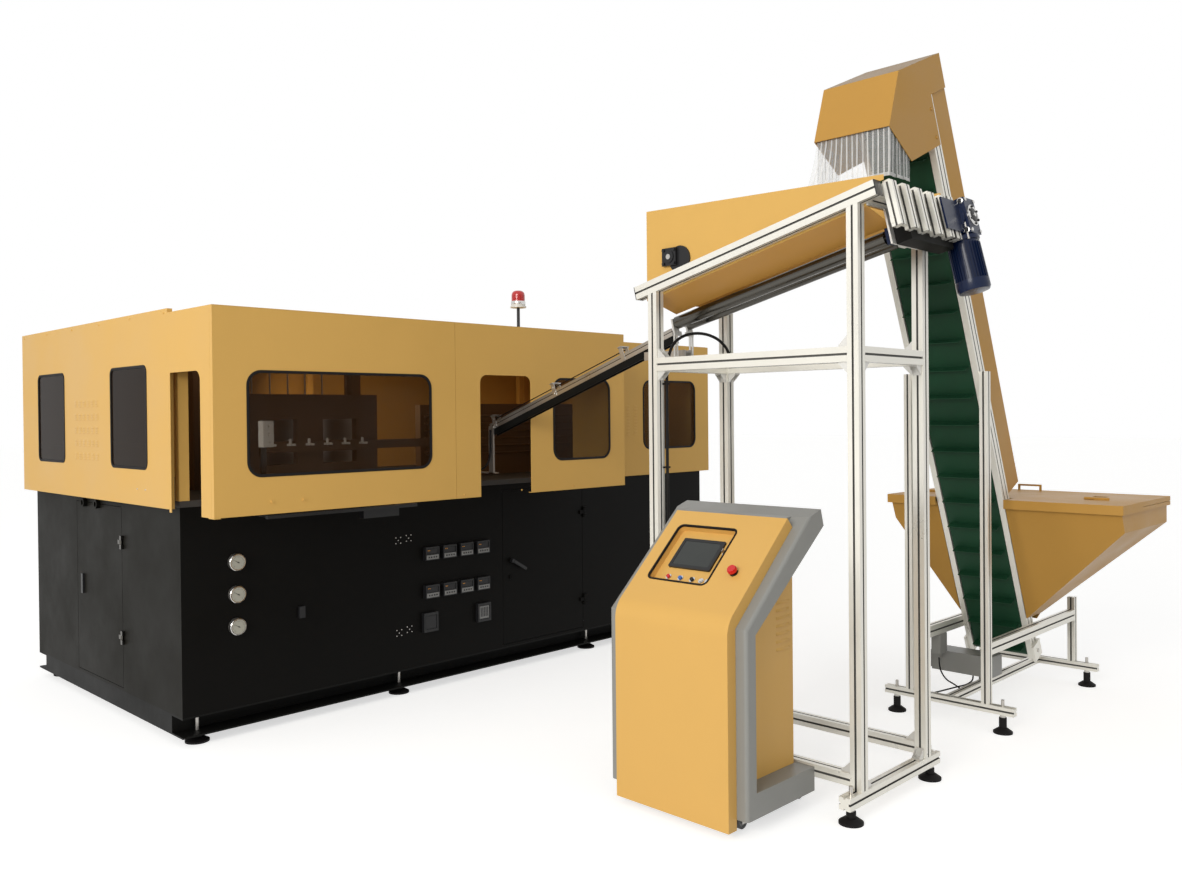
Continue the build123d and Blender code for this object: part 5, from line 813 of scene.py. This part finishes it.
# The bracket that carries the lower end on the machine
bar(bright, world_place, (1590.5, 1600), (-370, -330), (1246, 1520))
bar(bright, world_place, (1590.5, 1630.5), (-370, -90.3), (1246, 1252))
bar(bright, world_place, (1590.5, 1630.5), (-96, -90.3), (1146, 1252))
chute_rails = piece("chute_rails", bright, steel, "line")
chute_guides = piece("chute_guides", dark, black_paint, "line")
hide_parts("chute")
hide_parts("chute")


# Strip curtain: soft clear strips that overlap a little and curl, with a painted highlight on one long
# edge and the lower end of each

def hanging_strip(shape, lit_edge_faces, top, along, out, wide, length, phase, lean=0.0):
    """Adds a thin strip hung from top, wide along and facing out; phase varies its curl, and the faces
    of one long edge and the lower end are listed for a painted highlight.
    """
    verts, faces = shape
    columns, rows = 5, 14
    half_thick = 0.75
    start = len(verts)
    along, out = Vector(along), Vector(out)
    for side in (half_thick, -half_thick):
        for j in range(rows + 1):
            share = j / rows
            for i in range(columns + 1):
                across = (i / columns - 0.5) * 2
                bend = 2.2 * across * across + 2.4 * share * math.sin(3.1 * share + phase)
                shift = 1.8 * share * math.sin(1.7 * phase + 2.0 * share) + lean * share ** 1.5
                p = Vector(top) + along * (across * wide / 2 + shift) + out * (bend + side)
                verts.append((p - Vector((0, 0, share * length))) * MM)
    back = (columns + 1) * (rows + 1)
    for j in range(rows):
        for i in range(columns):
            a = start + j * (columns + 1) + i
            b = a + columns + 1
            # Painted highlight on the first column and the lowest row of faces
            if i == 0 or j == rows - 1:
                lit_edge_faces.extend((len(faces), len(faces) + 1))
            faces.append((a, a + 1, b + 1, b))
            faces.append((a + back, b + back, b + back + 1, a + back + 1))
    for j in range(rows):
        for i in (0, columns):
            a = start + j * (columns + 1) + i
            b = a + columns + 1
            faces.append((a, b, b + back, a + back))
    for i in range(columns):
        for j in (0, rows):
            a = start + j * (columns + 1) + i
            faces.append((a, a + back, a + back + 1, a + 1))


# Neighbours hang in front of each other by turns, and the far front ones lean away
OVERLAP = 2.6
FRONT_STRIPS, FRONT_PITCH, FIRST_LEANING = 14, 25.5, 9
SIDE_STRIPS, SIDE_PITCH, SIDE_FIRST_X = 6, 30.0, 1889.0
CURTAIN_FRONT_X, CURTAIN_HALF_WIDTH, CURTAIN_LOW_Z = 1865.5, 180.0, 2601.0
# Two points, as (x, z), of the hood's sloping lower edge
HOOD_FRONT, HOOD_BACK = (1854.9, 2808.9), (2522.0, 2692.0)
HOOD_FALL = (HOOD_BACK[1] - HOOD_FRONT[1]) / (HOOD_BACK[0] - HOOD_FRONT[0])

strips, lit_edge_faces = ([], []), []
for i in range(FRONT_STRIPS):
    y = ELEVATOR_Y + (i - (FRONT_STRIPS - 1) / 2) * FRONT_PITCH
    hanging_strip(strips, lit_edge_faces, (CURTAIN_FRONT_X + OVERLAP * (i % 2), y, 2822), (0, 1, 0),
                  (1, 0, 0), 29.0, 222.0, 1.3 * i, 12.0 * max(0, i + 1 - FIRST_LEANING))
for side in (-1, 1):
    for i in range(SIDE_STRIPS):
        x = SIDE_FIRST_X + i * SIDE_PITCH
        y = ELEVATOR_Y + side * (CURTAIN_HALF_WIDTH - OVERLAP * (i % 2))
        top = HOOD_FRONT[1] + (x - HOOD_FRONT[0]) * HOOD_FALL + 8
        hanging_strip(strips, lit_edge_faces, (x, y, top), (1, 0, 0), (0, -side, 0), 31.0,
                      top - CURTAIN_LOW_Z, 0.9 * i + 2 * side)
soft_strips = piece("soft_strips", strips, curtain, "line", smooth=60.0)
refinish(soft_strips, strip_edge_highlight, lit_edge_faces)
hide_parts("strip_curtain")


# Floor, light and camera

def seen_rays(tree):
    """1 where a ray comes from the camera, a mirror or glass, for the white background."""
    path = tree.nodes.new("ShaderNodeLightPath")
    seen = path.outputs["Is Camera Ray"]
    for name in ("Is Glossy Ray", "Is Transmission Ray"):
        both = tree.nodes.new("ShaderNodeMath")
        both.operation = "MAXIMUM"
        tree.links.new(seen, both.inputs[0])
        tree.links.new(path.outputs[name], both.inputs[1])
        seen = both.outputs[0]
    return seen


def pale_floor(half=60.0, glow_strength=0.62):
    """A wide square floor, half metres to each side, that shows nearly white."""
    mesh = bpy.data.meshes.new("floor")
    mesh.from_pydata([(-half, -half, 0), (half, -half, 0), (half, half, 0), (-half, half, 0)], [],
                     [(0, 1, 2, 3)])
    made = bpy.data.objects.new("floor", mesh)
    bpy.context.scene.collection.objects.link(made)
    pale = material("pale floor", (0.62, 0.62, 0.61), 0.8, mottle=0.01, specular=0.1)
    tree = pale.node_tree
    glow = tree.nodes.new("ShaderNodeMath")
    glow.operation = "MULTIPLY"
    glow.inputs[1].default_value = glow_strength
    tree.links.new(seen_rays(tree), glow.inputs[0])
    shader = tree.nodes["Principled BSDF"]
    shader.inputs["Emission Color"].default_value = (1.0, 1.0, 1.0, 1.0)
    tree.links.new(glow.outputs[0], shader.inputs["Emission Strength"])
    mesh.materials.append(pale)


def pale_room():
    """White where it is seen; its light is strongest low on the left, weak above and on the right."""
    world = bpy.data.worlds.new("studio")
    world.use_nodes = True
    tree = world.node_tree
    background = tree.nodes["Background"]
    background.inputs["Color"].default_value = (1.0, 1.0, 1.0, 1.0)
    place = tree.nodes.new("ShaderNodeTexCoord")
    toward = tree.nodes.new("ShaderNodeVectorMath")
    toward.operation = "DOT_PRODUCT"
    toward.inputs[1].default_value = (-0.74, -0.42, -0.52)
    tree.links.new(place.outputs["Generated"], toward.inputs[0])
    room = tree.nodes.new("ShaderNodeMapRange")
    socket_values(room, {"From Min": -1.0, "From Max": 0.8, "To Min": 0.30, "To Max": 1.0})
    tree.links.new(toward.outputs["Value"], room.inputs["Value"])
    strength = tree.nodes.new("ShaderNodeMix")
    tree.links.new(seen_rays(tree), strength.inputs["Factor"])
    tree.links.new(room.outputs["Result"], strength.inputs["A"])
    strength.inputs["B"].default_value = 1.0
    tree.links.new(strength.outputs["Result"], background.inputs["Strength"])
    bpy.context.scene.world = world


def area_light(name, place, target, size, power, color):
    """A rectangular lamp at place that shines at target, in metres and watts."""
    data = bpy.data.lights.new(name, "AREA")
    data.shape = "RECTANGLE"
    data.size, data.size_y = size
    data.energy = power
    data.color = color
    made = bpy.data.objects.new(name, data)
    bpy.context.scene.collection.objects.link(made)
    made.location = place
    aim = Vector(target) - Vector(place)
    made.rotation_euler = aim.to_track_quat("-Z", "Y").to_euler()


# The photo's camera: its place in metres and turns in degrees; the photo's size, the focal length
# and the row of the optical axis in pixels
EYE = (-2.1482, -4.8405, 1.5779)
YAW, PITCH, ROLL = 45.458, 0.508, 0.549
PHOTO_WIDTH, PHOTO_HEIGHT = 1182, 886
FOCAL_PIXELS, AXIS_ROW = 1008.47, 424.0
SENSOR_WIDTH = 36.0


def photo_camera():
    yaw, pitch, roll = (math.radians(turn) for turn in (YAW, PITCH, ROLL))
    forward = Vector((math.sin(yaw) * math.cos(pitch), math.cos(yaw) * math.cos(pitch),
                      -math.sin(pitch)))
    right = Vector((math.cos(yaw), -math.sin(yaw), 0.0))
    down = forward.cross(right)
    turned_right = math.cos(roll) * right + math.sin(roll) * down
    turned_down = math.cos(roll) * down - math.sin(roll) * right
    data = bpy.data.cameras.new("camera")
    data.sensor_width = SENSOR_WIDTH
    data.lens = FOCAL_PIXELS / PHOTO_WIDTH * SENSOR_WIDTH
    data.shift_y = (AXIS_ROW - PHOTO_HEIGHT / 2) / PHOTO_WIDTH
    data.clip_start, data.clip_end = 0.05, 200.0
    made = bpy.data.objects.new("camera", data)
    bpy.context.scene.collection.objects.link(made)
    turn = Matrix((turned_right, -turned_down, -forward)).transposed()
    made.matrix_world = Matrix.Translation(EYE) @ turn.to_4x4()
    bpy.context.scene.camera = made


pale_floor()
pale_room()
area_light("key", (-9.0, -4.0, 4.6), (1.2, -0.6, 1.2), (5.0, 4.0), 700.0, (1.0, 0.975, 0.93))
area_light("inside", (1.8, 0.9, 2.0), (1.8, 0.9, 1.0), (3.4, 1.2), 8.0, (1.0, 0.78, 0.54))
area_light("inside_back", (1.5, 1.4, 1.65), (2.8, 1.7, 1.45), (0.8, 0.4), 4.0, (1.0, 0.70, 0.38))
photo_camera()
bpy.context.scene.view_settings.view_transform = "Standard"
